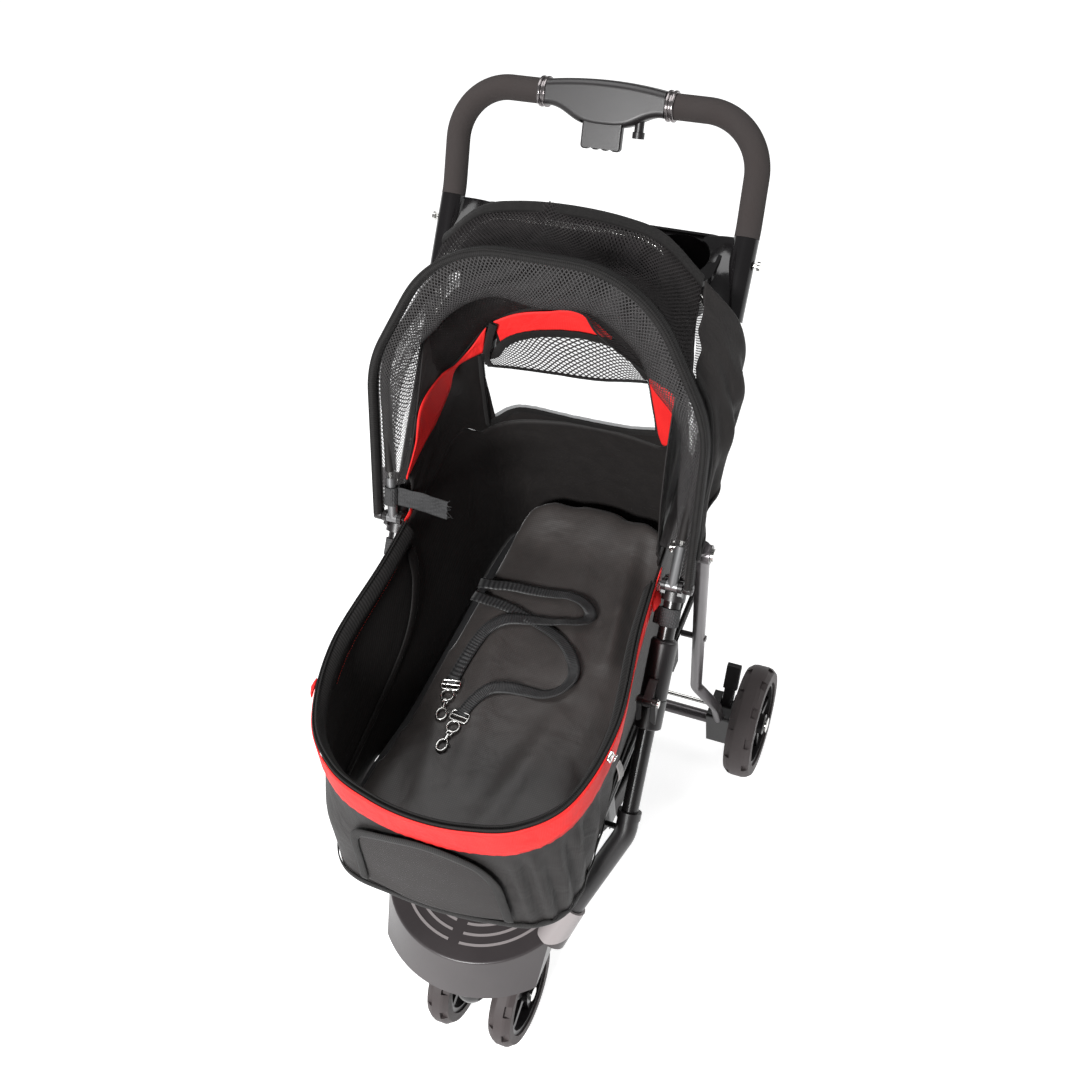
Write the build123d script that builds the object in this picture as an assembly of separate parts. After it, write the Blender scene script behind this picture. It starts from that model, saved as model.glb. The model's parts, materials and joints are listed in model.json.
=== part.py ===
from build123d import *
import math
import os

os.makedirs("parts", exist_ok=True)

# Frame: millimetres, +Z up, front of the stroller towards -Y, right in the front view +X.

# Clearances
PRESS = 0.05            # radial gap of a fixed fit
RUN = 0.08              # radial gap of a turning or sliding fit
SEAM = 0.3              # gap between soft goods and what they lie on

# Main side tubes
TRACK = 170.0           # half distance between the side tubes
TUBE_R = 9.5
TUBE_WALL = 1.4
LEAN = 47.45            # side tube angle from the floor
FOLD_Y = -64.7          # tube axis at the fold parting plane
FOLD_Z = 511.0
PIN_OFF = 22.5          # fold pin in front of the tube axis
PIN_R = 2.5
EAR_R = 6.0
BLOCK_R = 15.7
BLOCK_LEN = 34.0
SLEEVE_R = 15.0
SLEEVE_LEN = 68.0
SLEEVE_RISE = 12.0
CORE_R = 12.5
CORE_LEN = 40.0
LUG_W = 9.8
FITTING_TOP = -133.0    # along the tube from the parting plane
FITTING_R = 12.5

# Push bar
BEND_Z = 889.0
BAR_Y = 337.0
BAR_Z = 985.0
BAR_R = 60.0            # bend radius of the loop
FOAM_R = 13.3
FOAM_END_X = 76.0
COLLAR_R = 16.0
HOUSE_HALF = 66.0
HOUSE_DEPTH = 14.5

# Tray
TRAY_Z = 864.0
TRAY_FRONT = 208.0
TRAY_BACK = 294.0
CUP_R = 38.0
CUP_X = 98.0
CUP_DEPTH = 62.0
TRAY_WALL = 3.0
WING_R = 13.3           # sleeve of the tray on the side tube

# Rear frame
PIVOT_Y = 50.0
PIVOT_Z = 636.0
LEG_X = TRACK + 22.0
LEG_R = 8.0
WHEEL_X = 212.0
WHEEL_Y = 210.0
REAR_R = 83.0
REAR_W = 38.0
AXLE_R = 6.0
CROSS_Y = 197.0
CROSS_R = 9.0
ROD_Y = 210.0
ROD_Z = 99.0
ROD_R = 3.0

# Front caster
SWIVEL_Y = -310.0
CASTER_X = 43.0
CASTER_Y = -273.5
FRONT_R = 72.0
FRONT_W = 30.0
STEM_R = 8.0
PLATE_Y = -215.0        # centre of the platform's front arc
PLATE_TOP = 275.0
PLATE_LOW = 222.0
PLATE_R_TOP = 120.0
PLATE_R_LOW = 140.0
PLATE_HALF = 106.0      # half width where the arms start
PLATE_DRAFT = 7.0

# Cabin
FLOOR_Z = 400.3
CLOTH = 2.4
RIM_SLOPE = 0.2057
RIM_Y = 11.0
RIM_Z = 617.0
BACK_TOP = 640.0
RAIL_X = TRACK - 31.0
RAIL_Z = 396.0
RAIL_R = 4.0

# Canopy
BOW_S = 130.0           # canopy pivot along and in front of the tube axis
BOW_N = 17.0
BOW_LEAN = 65.0
EDGE_LEAN = 70.0
CLAMP_S = 125.0

T = Vector(0, math.cos(math.radians(LEAN)), math.sin(math.radians(LEAN)))
N = Vector(0, -T.Z, T.Y)
F0 = Vector(0, FOLD_Y, FOLD_Z)
X = Vector(1, 0, 0)
BOW_Y = (F0 + T * BOW_S + N * BOW_N).Y
BOW_Z = (F0 + T * BOW_S + N * BOW_N).Z


def on_tube(s, n=0.0, x=TRACK):
    return F0 + T * s + N * n + X * x


def rod(a, b, r):
    a, b = Vector(*a), Vector(*b)
    return Solid.make_cylinder(r, (b - a).length, Plane(origin=a, z_dir=b - a))


def cone(a, b, ra, rb):
    a, b = Vector(*a), Vector(*b)
    return Solid.make_cone(ra, rb, (b - a).length, Plane(origin=a, z_dir=b - a))


def block(x, y, z):
    size = (x[1] - x[0], y[1] - y[0], z[1] - z[0])
    mid = ((x[0] + x[1]) / 2, (y[0] + y[1]) / 2, (z[0] + z[1]) / 2)
    return Pos(*mid) * Box(*size)


def bent(points, r, radius=None):
    points = [Vector(*p) for p in points]
    path = FilletPolyline(*points, radius=radius) if radius else Polyline(*points)
    return sweep(Plane(path @ 0, z_dir=path % 0) * Circle(r), path)


def both(shape):
    return Compound([shape, shape.mirror(Plane.YZ)])


def side_plate(points, x0, x1):
    """Plate between two x planes from (y, z) corner points."""
    face = make_face(Polyline(*[Vector(x0, y, z) for y, z in points], close=True))
    return extrude(face, amount=x1 - x0, dir=(1, 0, 0))


def save(name, shape):
    export_step(shape if isinstance(shape, Compound) else Compound([shape]), f"parts/{name}.step")


def outline(half, grow=0.0):
    """Closed plan curve from (y, half width) stations, front to back, moved out along its normals."""
    pts = [(w, y) for y, w in half] + [(-w, y) for y, w in reversed(half[1:-1])]
    moved = []
    for k, (x, y) in enumerate(pts):
        before, after = pts[k - 1], pts[(k + 1) % len(pts)]
        dx, dy = after[0] - before[0], after[1] - before[1]
        size = math.hypot(dx, dy)
        moved.append((x + grow * dy / size, y - grow * dx / size))
    return moved


def plan_face(half, z, grow=0.0):
    pts = [Vector(x, y, z) for x, y in outline(half, grow)]
    return make_face(Spline(*pts, periodic=True))


# Fold joint

def fold_ear(x0, x1, up):
    pin = on_tube(0, PIN_OFF, 0)
    low = 0.25 if up else -26.0
    high = 24.0 if up else -0.25
    corners = [on_tube(low, 6), on_tube(high, 6), on_tube(high, 13)]
    near, far = (4.0, 0.3) if up else (-0.25, -4.0)
    corners += [on_tube(near, PIN_OFF + EAR_R - 2), on_tube(far, PIN_OFF + EAR_R - 2)]
    corners += [on_tube(low, 13)] if not up else []
    plate = side_plate([(c.Y, c.Z) for c in corners], x0, x1)
    return plate + rod((x0, pin.Y, pin.Z), (x1, pin.Y, pin.Z), EAR_R)


def fold_pin_hole(r, x=TRACK):
    pin = on_tube(0, PIN_OFF, 0)
    return rod((x - 20, pin.Y, pin.Z), (x + 20, pin.Y, pin.Z), r)


def fold_block():
    body = rod(on_tube(-BLOCK_LEN), on_tube(-0.15), BLOCK_R)
    body = fillet(body.edges().filter_by(GeomType.CIRCLE).sort_by(Axis.Z)[0], 2.0)
    gap = LUG_W / 2 + 0.3
    ears = fold_ear(TRACK - 11, TRACK - gap, False) + fold_ear(TRACK + gap, TRACK + 11, False)
    body = body + ears - rod(on_tube(-60), on_tube(-3), TUBE_R + PRESS)
    return body - fold_pin_hole(PIN_R + PRESS)


def hinge_core():
    body = rod(on_tube(0.15), on_tube(CORE_LEN), CORE_R)
    body = body + fold_ear(TRACK - LUG_W / 2, TRACK + LUG_W / 2, True)
    body = body - rod(on_tube(4), on_tube(60), TUBE_R + PRESS)
    return body - fold_pin_hole(PIN_R + RUN)


def lock_sleeve():
    body = rod(on_tube(0.4), on_tube(SLEEVE_LEN), SLEEVE_R)
    top = body.edges().filter_by(GeomType.CIRCLE).sort_by(Axis.Z)[-1]
    body = fillet(top, 4.5)
    body = body - rod(on_tube(-5), on_tube(54), CORE_R + RUN)
    body = body - rod(on_tube(50), on_tube(80), TUBE_R + RUN)
    c = LUG_W / 2 + 0.4
    slot = [on_tube(-5, 4), on_tube(26, 4), on_tube(26, 20), on_tube(-5, 20)]
    return body - side_plate([(p.Y, p.Z) for p in slot], TRACK - c, TRACK + c)


def lower_tube():
    outer = rod(on_tube(-3.2), on_tube(FITTING_TOP - 18), TUBE_R)
    return outer - rod(on_tube(0), on_tube(FITTING_TOP - 22), TUBE_R - TUBE_WALL)


def fold_pin():
    pin = on_tube(0, PIN_OFF, 0)
    body = rod((TRACK - 11.2, pin.Y, pin.Z), (TRACK + 11.2, pin.Y, pin.Z), PIN_R)
    heads = rod((TRACK - 13, pin.Y, pin.Z), (TRACK - 11.2, pin.Y, pin.Z), 4.2)
    heads = heads + rod((TRACK + 11.2, pin.Y, pin.Z), (TRACK + 13, pin.Y, pin.Z), 4.2)
    return body + heads


# Front end

ARM_A = on_tube(-160.0)
ARM_B = Vector(122, -240, 300)
ARM_DIR = (ARM_B - ARM_A).normalized()


def corner_fitting():
    body = bent([on_tube(FITTING_TOP), ARM_A, ARM_B + ARM_DIR * 20], FITTING_R, 40)
    body = body - rod(on_tube(FITTING_TOP + 5), on_tube(FITTING_TOP - 18.2), TUBE_R + PRESS)
    collar = rod(on_tube(FITTING_TOP), on_tube(FITTING_TOP - 9), FITTING_R + 1.2)
    collar = collar - rod(on_tube(FITTING_TOP + 5), on_tube(FITTING_TOP - 20), TUBE_R + PRESS)
    bolt = on_tube(-156.0)
    return body + collar - rod((TRACK - 40, bolt.Y, RAIL_Z), (TRACK - 2, bolt.Y, RAIL_Z), 3.5 + PRESS)


def half_disc(r, half, z, back):
    disc = Pos(0, PLATE_Y, z) * Circle(r)
    return disc & Pos(0, back - 200, z) * Rectangle(2 * half, 400)


def front_platform():
    back = PLATE_Y + 6
    low = half_disc(PLATE_R_LOW, PLATE_HALF - PLATE_DRAFT, PLATE_LOW, back)
    top = half_disc(PLATE_R_TOP, PLATE_HALF, PLATE_TOP, back)
    skin = loft([low, top])
    skin = fillet(skin.faces().sort_by(Axis.Z)[-1].edges().filter_by(GeomType.CIRCLE), 3.0)
    low = half_disc(PLATE_R_LOW - 4, PLATE_HALF - PLATE_DRAFT - 4, PLATE_LOW - 1, back - 5)
    top = half_disc(PLATE_R_TOP - 4, PLATE_HALF - 4, PLATE_TOP - 5, back - 5)
    body = skin - loft([low, top])
    arm = cone(ARM_B - ARM_DIR * 6, ARM_B + ARM_DIR * 48, FITTING_R + 3.2, FITTING_R + 6)
    arm = arm + side_plate([(-210, 250), (-210, 274), (-226, 302), (-246, 302), (-268, 272), (-268, 250)], 98, 114)
    arm = arm & block((60, 160), (-300, -205), (236, 320))
    boss = rod((0, SWIVEL_Y, PLATE_LOW - 6), (0, SWIVEL_Y, PLATE_TOP - 3), 19)
    body = body + arm + arm.mirror(Plane.YZ) + boss
    seat = rod(ARM_B - ARM_DIR * 30, ARM_B + ARM_DIR * 20.3, FITTING_R + PRESS)
    body = body - seat - seat.mirror(Plane.YZ)
    body = body - rod((0, SWIVEL_Y, PLATE_LOW - 20), (0, SWIVEL_Y, PLATE_TOP - 9), STEM_R + RUN)
    return body + plate_ribs()


def plate_ribs():
    ribs = []
    for k in range(6):
        r = 36.0 + 12.5 * k
        ring = Pos(0, PLATE_Y, PLATE_TOP - 0.6) * (Cylinder(r + 1.6, 2.4) - Cylinder(r - 1.6, 2.6))
        half = ring & block((-130, 130), (PLATE_Y - 130, PLATE_Y - 12 - 3 * k), (PLATE_TOP - 3, PLATE_TOP + 3))
        half = half - block((-7, 7), (PLATE_Y - 130, PLATE_Y), (PLATE_TOP - 4, PLATE_TOP + 4))
        ribs += list(half.solids())
    return ribs


def caster_fork():
    body = rod((0, SWIVEL_Y, 150), (0, SWIVEL_Y, PLATE_TOP - 10), STEM_R)
    body = body + rod((0, SWIVEL_Y, 140), (0, SWIVEL_Y, PLATE_LOW - 6.5), 18)
    for z in (150, 168, 186):
        body = body + rod((0, SWIVEL_Y, z), (0, SWIVEL_Y, z + 9), 21.5)
    body = body + Pos(0, SWIVEL_Y, 134) * Sphere(21)
    body = body + rod((0, SWIVEL_Y, 134), (0, CASTER_Y, FRONT_R), 17)
    body = body + rod((-25, CASTER_Y, FRONT_R), (25, CASTER_Y, FRONT_R), 15)
    return body - rod((-40, CASTER_Y, FRONT_R), (40, CASTER_Y, FRONT_R), 5 + PRESS)


def front_axle():
    end = CASTER_X + FRONT_W / 2 + 2
    body = rod((-end, CASTER_Y, FRONT_R), (end, CASTER_Y, FRONT_R), 5)
    for s in (-1, 1):
        body = body + rod((s * end, CASTER_Y, FRONT_R), (s * (end + 2.5), CASTER_Y, FRONT_R), 9)
    return body


# Wheels

def tyre(radius, width, depth, blocks, x, y, z):
    face = make_face(Polyline(
        (radius - depth, -width / 2), (radius - 6, -width / 2), (radius - 1.2, -width / 2 + 6),
        (radius, -width / 5), (radius, width / 5), (radius - 1.2, width / 2 - 6),
        (radius - 6, width / 2), (radius - depth, width / 2), close=True))
    body = revolve(Plane.XZ * face, Axis.Z)
    for k in range(blocks):
        for s in (-1, 1):
            a = 360.0 / blocks * (k + (0.25 if s > 0 else -0.25))
            notch = Rot(0, 0, a) * Pos(radius - 1.5, 0, s * (width / 2 - 4.5)) * Box(8, 15, 10)
            body = body - notch
    return Pos(x, y, z) * Rot(0, 90, 0) * body


def rim(radius, width, hub_r, hub_w, bore, spokes, x, y, z):
    ring = Cylinder(radius, width) - Cylinder(radius - 6, width + 2)
    hub = Cylinder(hub_r, hub_w)
    body = ring + hub
    reach = radius - 4 - hub_r / 2
    for k in range(spokes):
        bar = Rot(0, 0, 360.0 / spokes * k) * Pos(hub_r / 2 + reach / 2, 0, 0) * Box(reach, 9, width - 8)
        body = body + bar
    body = body - Cylinder(bore + RUN, hub_w + 10)
    return Pos(x, y, z) * Rot(0, 90, 0) * body


# Rear frame

LEG_TOP = Vector(LEG_X, PIVOT_Y, PIVOT_Z)
LEG_KNEE = Vector(146, 158, 215)
LEG_HEEL = Vector(170, 175, 150)
LEG_FOOT = Vector(170, 196, 72)


def rear_leg():
    up = (LEG_TOP - LEG_KNEE).normalized()
    body = bent([LEG_TOP + up * 15, LEG_KNEE, LEG_HEEL, LEG_FOOT], LEG_R, 35)
    lug = rod((LEG_X - 9.5, PIVOT_Y, PIVOT_Z), (LEG_X + 9.5, PIVOT_Y, PIVOT_Z), 11)
    stay = leg_point(RAIL_Z)
    pin = rod((RAIL_X + RAIL_R + 0.5, stay.Y, RAIL_Z), (stay.X + 10, stay.Y, RAIL_Z), 4)
    body = body + lug + pin
    return body - rod((LEG_X - 42, PIVOT_Y, PIVOT_Z), (LEG_X + 28, PIVOT_Y, PIVOT_Z), 4 + RUN)


def leg_point(z):
    f = (z - LEG_KNEE.Z) / (LEG_TOP.Z - LEG_KNEE.Z)
    return LEG_KNEE + (LEG_TOP - LEG_KNEE) * f


def leg_pivot_bolt():
    body = rod((TRACK - 12, PIVOT_Y, PIVOT_Z), (LEG_X + 10, PIVOT_Y, PIVOT_Z), 4)
    body = body + rod((LEG_X + 10, PIVOT_Y, PIVOT_Z), (LEG_X + 13, PIVOT_Y, PIVOT_Z), 7.5)
    return body + rod((TRACK - 14, PIVOT_Y, PIVOT_Z), (TRACK - 12, PIVOT_Y, PIVOT_Z), 7)


def wheel_bracket():
    body = block((153, 187), (180, 230), (46, 113))
    body = fillet(body.edges().filter_by(Axis.X), 5)
    body = body + block((187, 189.5), (200, 220), (73, 93))
    foot_dir = (LEG_FOOT - LEG_HEEL).normalized()
    body = body - rod(LEG_FOOT + foot_dir * 1, LEG_FOOT - foot_dir * 60, LEG_R + PRESS)
    body = body - rod((140, CROSS_Y, REAR_R), (160, CROSS_Y, REAR_R), CROSS_R + PRESS)
    body = body - block((166, 184), (200.5, 240), (91.5, 120))
    body = body - rod((150, ROD_Y, ROD_Z), (200, ROD_Y, ROD_Z), ROD_R + RUN)
    return body - rod((180, WHEEL_Y, REAR_R), (200, WHEEL_Y, REAR_R), AXLE_R + PRESS)


def rear_axle():
    body = rod((180.2, WHEEL_Y, REAR_R), (WHEEL_X + 22, WHEEL_Y, REAR_R), AXLE_R)
    return body + rod((WHEEL_X + 22, WHEEL_Y, REAR_R), (WHEEL_X + 25, WHEEL_Y, REAR_R), 11)


def brake_pedal():
    hub = rod((166.5, ROD_Y, ROD_Z), (183.5, ROD_Y, ROD_Z), 6.8)
    u = Vector(0, math.cos(math.radians(53)), math.sin(math.radians(53)))
    v = Vector(0, -u.Z, u.Y)
    o = Vector(0, ROD_Y, ROD_Z)
    arm = [o - v * 5, o + u * 40 - v * 5, o + u * 40 + v * 4, o + v * 6]
    body = hub + side_plate([(p.Y, p.Z) for p in arm], 167.5, 182.5)
    pad = [o + u * 31 - v * 6, o + u * 66 - v * 6, o + u * 70 - v * 1, o + u * 66 + v * 5, o + u * 31 + v * 5]
    plate = fillet(side_plate([(p.Y, p.Z) for p in pad], 165, 185).edges().filter_by(Axis.X), 1.5)
    body = body + plate
    return body - rod((150, ROD_Y, ROD_Z), (200, ROD_Y, ROD_Z), ROD_R + PRESS)


# Push bar

BEND_S = (BEND_Z - FOLD_Z) / T.Z
BEND_PT = on_tube(BEND_S)
CORNER = Vector(TRACK, BAR_Y, BAR_Z)
UP = (CORNER - BEND_PT).normalized()
UPN = Vector(0, -UP.Z, UP.Y)
BAR = Vector(0, BAR_Y, BAR_Z)


def bar_pt(x, u, n):
    return BAR + X * x + UP * u + UPN * n


def push_tube():
    pts = [on_tube(4.3), BEND_PT, CORNER]
    pts = pts + [Vector(-p.X, p.Y, p.Z) for p in reversed(pts)]
    bore = [on_tube(-2)] + pts[1:-1] + [on_tube(-2, 0, -TRACK)]
    body = bent(pts, TUBE_R, BAR_R) - bent(bore, TUBE_R - TUBE_WALL, BAR_R)
    hole = rod((-LEG_X - 68, PIVOT_Y, PIVOT_Z), (LEG_X + 68, PIVOT_Y, PIVOT_Z), 4 + PRESS)
    return body - hole


def foam_grip():
    start = on_tube(BEND_S - 10)
    end = Vector(FOAM_END_X, BAR_Y, BAR_Z)
    body = bent([start, BEND_PT, CORNER, end], FOAM_R, BAR_R)
    return body - bent([start - T, BEND_PT, CORNER, end - X], TUBE_R + PRESS, BAR_R)


def grip_collar():
    start, end = HOUSE_HALF + 0.4, FOAM_END_X - 0.2
    body = rod(bar_pt(start, 0, 0), bar_pt(end, 0, 0), COLLAR_R)
    waist = rod(bar_pt(start + 3.6, 0, 0), bar_pt(end - 3.6, 0, 0), COLLAR_R + 2)
    waist = waist - rod(bar_pt(start, 0, 0), bar_pt(end, 0, 0), COLLAR_R - 1.8)
    body = fillet((body - waist).edges().filter_by(GeomType.CIRCLE).group_by(SortBy.RADIUS)[-1], 1.2)
    return body - rod(bar_pt(0, 0, 0), bar_pt(90, 0, 0), TUBE_R + PRESS)


def handle_housing():
    low = [(-HOUSE_HALF, -13), (-48, -16), (-30, -25), (0, -29), (30, -25), (48, -16), (HOUSE_HALF, -13)]
    top = [(HOUSE_HALF, 13.5), (0, 18.5), (-HOUSE_HALF, 13.5)]
    place = Plane(origin=BAR - UPN * HOUSE_DEPTH, x_dir=X, z_dir=-UPN)
    flip = place.y_dir.dot(UP)
    low = [(x, u * flip) for x, u in low]
    top = [(x, u * flip) for x, u in top]
    wire = Spline(*low) + Line(low[-1], top[0]) + Spline(*top) + Line(top[-1], low[0])
    body = extrude(place * make_face(wire), amount=-2 * HOUSE_DEPTH)
    body = fillet(body.edges().filter_by(GeomType.BSPLINE), 7)
    body = body - rod(bar_pt(-90, 0, 0), bar_pt(90, 0, 0), TUBE_R + PRESS)
    body = body - slanted_box(-24, 24, -40, -13, -3.5, 13.5)
    return body - rod(bar_pt(39, -40, 3), bar_pt(39, -13, 3), 5 + RUN)


def slanted_box(x0, x1, u0, u1, n0, n1):
    pts = [bar_pt(0, u0, n0), bar_pt(0, u1, n0), bar_pt(0, u1, n1), bar_pt(0, u0, n1)]
    return side_plate([(p.Y, p.Z) for p in pts], x0, x1)


def fold_trigger():
    body = slanted_box(-22.5, 22.5, -52, -19, 1.5, 10.5)
    corners = [e for e in body.edges() if abs(e.tangent_at(0.5).dot(UPN)) > 0.99 and (e.center() - BAR).dot(UP) < -40]
    body = fillet(corners, 4.0)
    body = fillet(body.edges().filter_by(Axis.X), 2.0)
    for x in (-11, 0, 11):
        body = body - rod(bar_pt(x, -55.5, -5), bar_pt(x, -55.5, 20), 5.2)
    pivot = rod(bar_pt(-23.6, -19, 6), bar_pt(23.6, -19, 6), 3.4)
    return body + pivot


def lock_button():
    body = rod(bar_pt(39, -36, 3), bar_pt(39, -19, 3), 5)
    return body + rod(bar_pt(39, -36, 3), bar_pt(39, -29.5, 3), 6.5)


# Tray

SCREW_S = (TRAY_Z - 2 - FOLD_Z) / T.Z


def tray_wing(mid, low, high):
    """End of the tray: the flat deck twists up into a sleeve round the side tube."""
    deck = Vector(0, mid, TRAY_Z - 1)
    sleeve = on_tube((low + high) / 2, 0, 0)
    sections = []
    for reach, turn, thick in ((50, 0.0, 5.2), (26, 0.28, 8.6), (0, 1.0, 2 * WING_R - 3.6)):
        a = math.radians(LEAN * turn)
        place = Plane(origin=deck + (sleeve - deck) * turn + X * (TRACK - reach),
                      x_dir=(0, math.cos(a), math.sin(a)), z_dir=(1, 0, 0))
        deep = (1 - turn) * (TRAY_BACK - TRAY_FRONT - 5) + turn * (high - low - 3)
        sections.append(place * RectangleRounded(deep, thick, thick / 2 - 0.4))
    return loft(sections) + rod(on_tube(low), on_tube(high), WING_R)


def tray():
    top = Plane.XY.offset(TRAY_Z)
    half = TRACK - 22.0
    mid = (TRAY_FRONT + TRAY_BACK) / 2
    deck = extrude(top * Pos(0, mid) * RectangleRounded(2 * half, TRAY_BACK - TRAY_FRONT, 20), amount=-4)
    body = deck
    for s in (-1, 1):
        body = body + cone((s * CUP_X, mid, TRAY_Z - CUP_DEPTH), (s * CUP_X, mid, TRAY_Z), CUP_R - 2, CUP_R + TRAY_WALL)
    body = body + block((-46, 46), (TRAY_FRONT + 8, TRAY_BACK - 8), (TRAY_Z - 21, TRAY_Z - 1))
    lip = extrude(top * Pos(0, mid) * RectangleRounded(2 * half, TRAY_BACK - TRAY_FRONT, 20), amount=2.5)
    lip = lip - extrude(top * Pos(0, mid) * RectangleRounded(2 * half - 8, TRAY_BACK - TRAY_FRONT - 8, 16), amount=3)
    body = body + lip
    low, high = (TRAY_Z - 46 - FOLD_Z) / T.Z, BEND_S - 10.3
    wing = tray_wing(mid, low, high)
    body = body + wing + wing.mirror(Plane.YZ)
    body = body - block((-43, 43), (TRAY_FRONT + 11, TRAY_BACK - 11), (TRAY_Z - 18, TRAY_Z + 10))
    for s in (-1, 1):
        body = body - cone((s * CUP_X, mid, TRAY_Z - CUP_DEPTH + 3), (s * CUP_X, mid, TRAY_Z + 1), CUP_R - 5, CUP_R)
        body = body - rod((s * CUP_X, mid, TRAY_Z), (s * CUP_X, mid, TRAY_Z + 40), CUP_R)
        body = body - rod(on_tube(low - 20, 0, s * TRACK), on_tube(high + 20, 0, s * TRACK), TUBE_R + PRESS)
        hole = on_tube(SCREW_S, 0, s * TRACK)
        body = body - rod((s * (TRACK + 6), hole.Y, hole.Z), (s * (TRACK + 30), hole.Y, hole.Z), 2.5 + PRESS)
    return body


def tray_screw():
    p = on_tube(SCREW_S)
    head = TRACK + 17
    return rod((TRACK + 10, p.Y, p.Z), (head, p.Y, p.Z), 2.5) + rod((head, p.Y, p.Z), (head + 3, p.Y, p.Z), 5)


# Canopy frame

BOW_FACE = Vector(0, math.sin(math.radians(BOW_LEAN)), -math.cos(math.radians(BOW_LEAN)))


def bow_pt(x, v, lean):
    a = math.radians(lean)
    return Vector(x, BOW_Y + v * math.cos(a), BOW_Z + v * math.sin(a))


def hoop(corners, place, r, radius):
    """Round rod bent over an arch from its right-hand corners."""
    pts = [place(x, v) for x, v in corners]
    return bent(pts + [Vector(-p.X, p.Y, p.Z) for p in reversed(pts)], r, radius)


def on_bow(x, v):
    return bow_pt(x, v, BOW_LEAN)


def on_edge(x, v):
    return bow_pt(x, v, EDGE_LEAN)


def canopy_clamp():
    body = rod(on_tube(CLAMP_S - 13), on_tube(CLAMP_S + 13), 13.5)
    ears = []
    for x0, x1 in ((TRACK - 12, TRACK - 7), (TRACK + 7, TRACK + 12)):
        base = [on_tube(CLAMP_S - 9, 6), on_tube(CLAMP_S + 12, 6), on_tube(CLAMP_S + 12, 16), on_tube(CLAMP_S - 5, 16)]
        ears.append(side_plate([(p.Y, p.Z) for p in base], x0, x1) + rod((x0, BOW_Y, BOW_Z), (x1, BOW_Y, BOW_Z), 6.5))
    body = body + ears[0] + ears[1]
    body = body - rod(on_tube(CLAMP_S - 30), on_tube(CLAMP_S + 30), TUBE_R + PRESS)
    pin = rod((TRACK - 14, BOW_Y, BOW_Z), (TRACK + 14, BOW_Y, BOW_Z), 2.5)
    pin = pin + rod((TRACK + 12, BOW_Y, BOW_Z), (EDGE_X + 5.5, BOW_Y, BOW_Z), 2.5)
    clear = rod((TRACK - 6.8, BOW_Y, BOW_Z), (TRACK + 6.8, BOW_Y, BOW_Z), 8.4)
    stem = rod(on_bow(TRACK, 0), on_bow(TRACK + 60 * FOOT_SPLAY, 60), 6.7)
    return body - clear - stem + pin


EDGE_X = TRACK + 18.0
FOOT_SPLAY = 13.0 / 154.0
BOW_CORNERS = [(TRACK + 38 * FOOT_SPLAY, 38), (TRACK + 192 * FOOT_SPLAY, 192), (TRACK - 66, 322)]
EDGE_CORNERS = [(EDGE_X, 3.2), (EDGE_X + 2, 190), (EDGE_X - 78, 335)]


def bow_socket():
    eye = rod((TRACK - 6.5, BOW_Y, BOW_Z), (TRACK + 6.5, BOW_Y, BOW_Z), 6.0)
    stem = rod(on_bow(TRACK, 0), on_bow(TRACK + 50 * FOOT_SPLAY, 50), 6.0)
    body = eye + stem - rod((TRACK - 20, BOW_Y, BOW_Z), (TRACK + 30, BOW_Y, BOW_Z), 2.5 + RUN)
    return body - rod(on_bow(TRACK + 37.8 * FOOT_SPLAY, 37.8), on_bow(TRACK + 60 * FOOT_SPLAY, 60), 3 + PRESS)


def canopy_bow():
    return hoop(BOW_CORNERS, on_bow, 3.0, 110)


def cover_edge():
    body = hoop(EDGE_CORNERS, on_edge, 4.5, 125)
    for s in (-1, 1):
        tab = rod((s * (EDGE_X - 5), BOW_Y, BOW_Z), (s * (EDGE_X + 5), BOW_Y, BOW_Z), 6.0)
        body = body + tab
    return body - rod((-EDGE_X - 32, BOW_Y, BOW_Z), (EDGE_X + 32, BOW_Y, BOW_Z), 2.5 + RUN)


REAR_FOOT = Vector(TRACK - 13, 176, 786)
REAR_TOP = Vector(0, 208, 914)
REAR_RISE = (Vector(0, REAR_TOP.Y, REAR_TOP.Z) - Vector(0, REAR_FOOT.Y, REAR_FOOT.Z)).length


def rear_pt(x, h):
    """Point in the rear bow plane, h above its feet."""
    p = REAR_FOOT + (REAR_TOP - REAR_FOOT) * (h / REAR_RISE)
    return Vector(x, p.Y, p.Z)


REAR_CORNERS = [(TRACK - 13, 0), (TRACK - 12, 64), (TRACK - 78, REAR_RISE)]


def rear_bow():
    body = hoop(REAR_CORNERS, rear_pt, 3.0, 60)
    s = (REAR_FOOT.Z - FOLD_Z) / T.Z + 4
    for sx in (-1, 1):
        clip = rod(on_tube(s - 11, 0, sx * TRACK), on_tube(s + 7, 0, sx * TRACK), 12.0)
        foot = Vector(sx * REAR_FOOT.X, REAR_FOOT.Y, REAR_FOOT.Z)
        clip = clip + rod(foot - Vector(0, 2, 9), foot + Vector(0, 2, 8), 5.0)
        clip = clip + rod(foot, on_tube(s - 2, 4, sx * (TRACK - 3)), 5.0)
        body = body + (clip - rod(on_tube(s - 40, 0, sx * TRACK), on_tube(s + 40, 0, sx * TRACK), TUBE_R + PRESS))
    return body


# Soft goods

def band_face(pts, inner):
    top = Spline(*pts)
    low = Spline(*inner)
    return make_face(top + Line(pts[-1], inner[-1]) + low + Line(inner[0], pts[0]))


def drawn_in(stations, centre, thick):
    """Stations moved towards an in-plane centre by the cloth's thickness."""
    out = []
    for x, v in stations:
        dx, dv = -x, centre - v
        size = math.hypot(dx, dv)
        out.append((x + dx / size * thick, v + dv / size * thick))
    return out


def shell(front, back, thick):
    """Cloth between the canopy bow plane and the rear bow plane."""
    faces = []
    for stations, centre, place in ((front, 150.0, on_bow), (back, 20.0, rear_pt)):
        pts = [place(x, v) for x, v in stations]
        inner = [place(x, v) for x, v in drawn_in(stations, centre, thick)]
        faces.append(band_face(pts, inner))
    return loft(faces, ruled=True)


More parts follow.
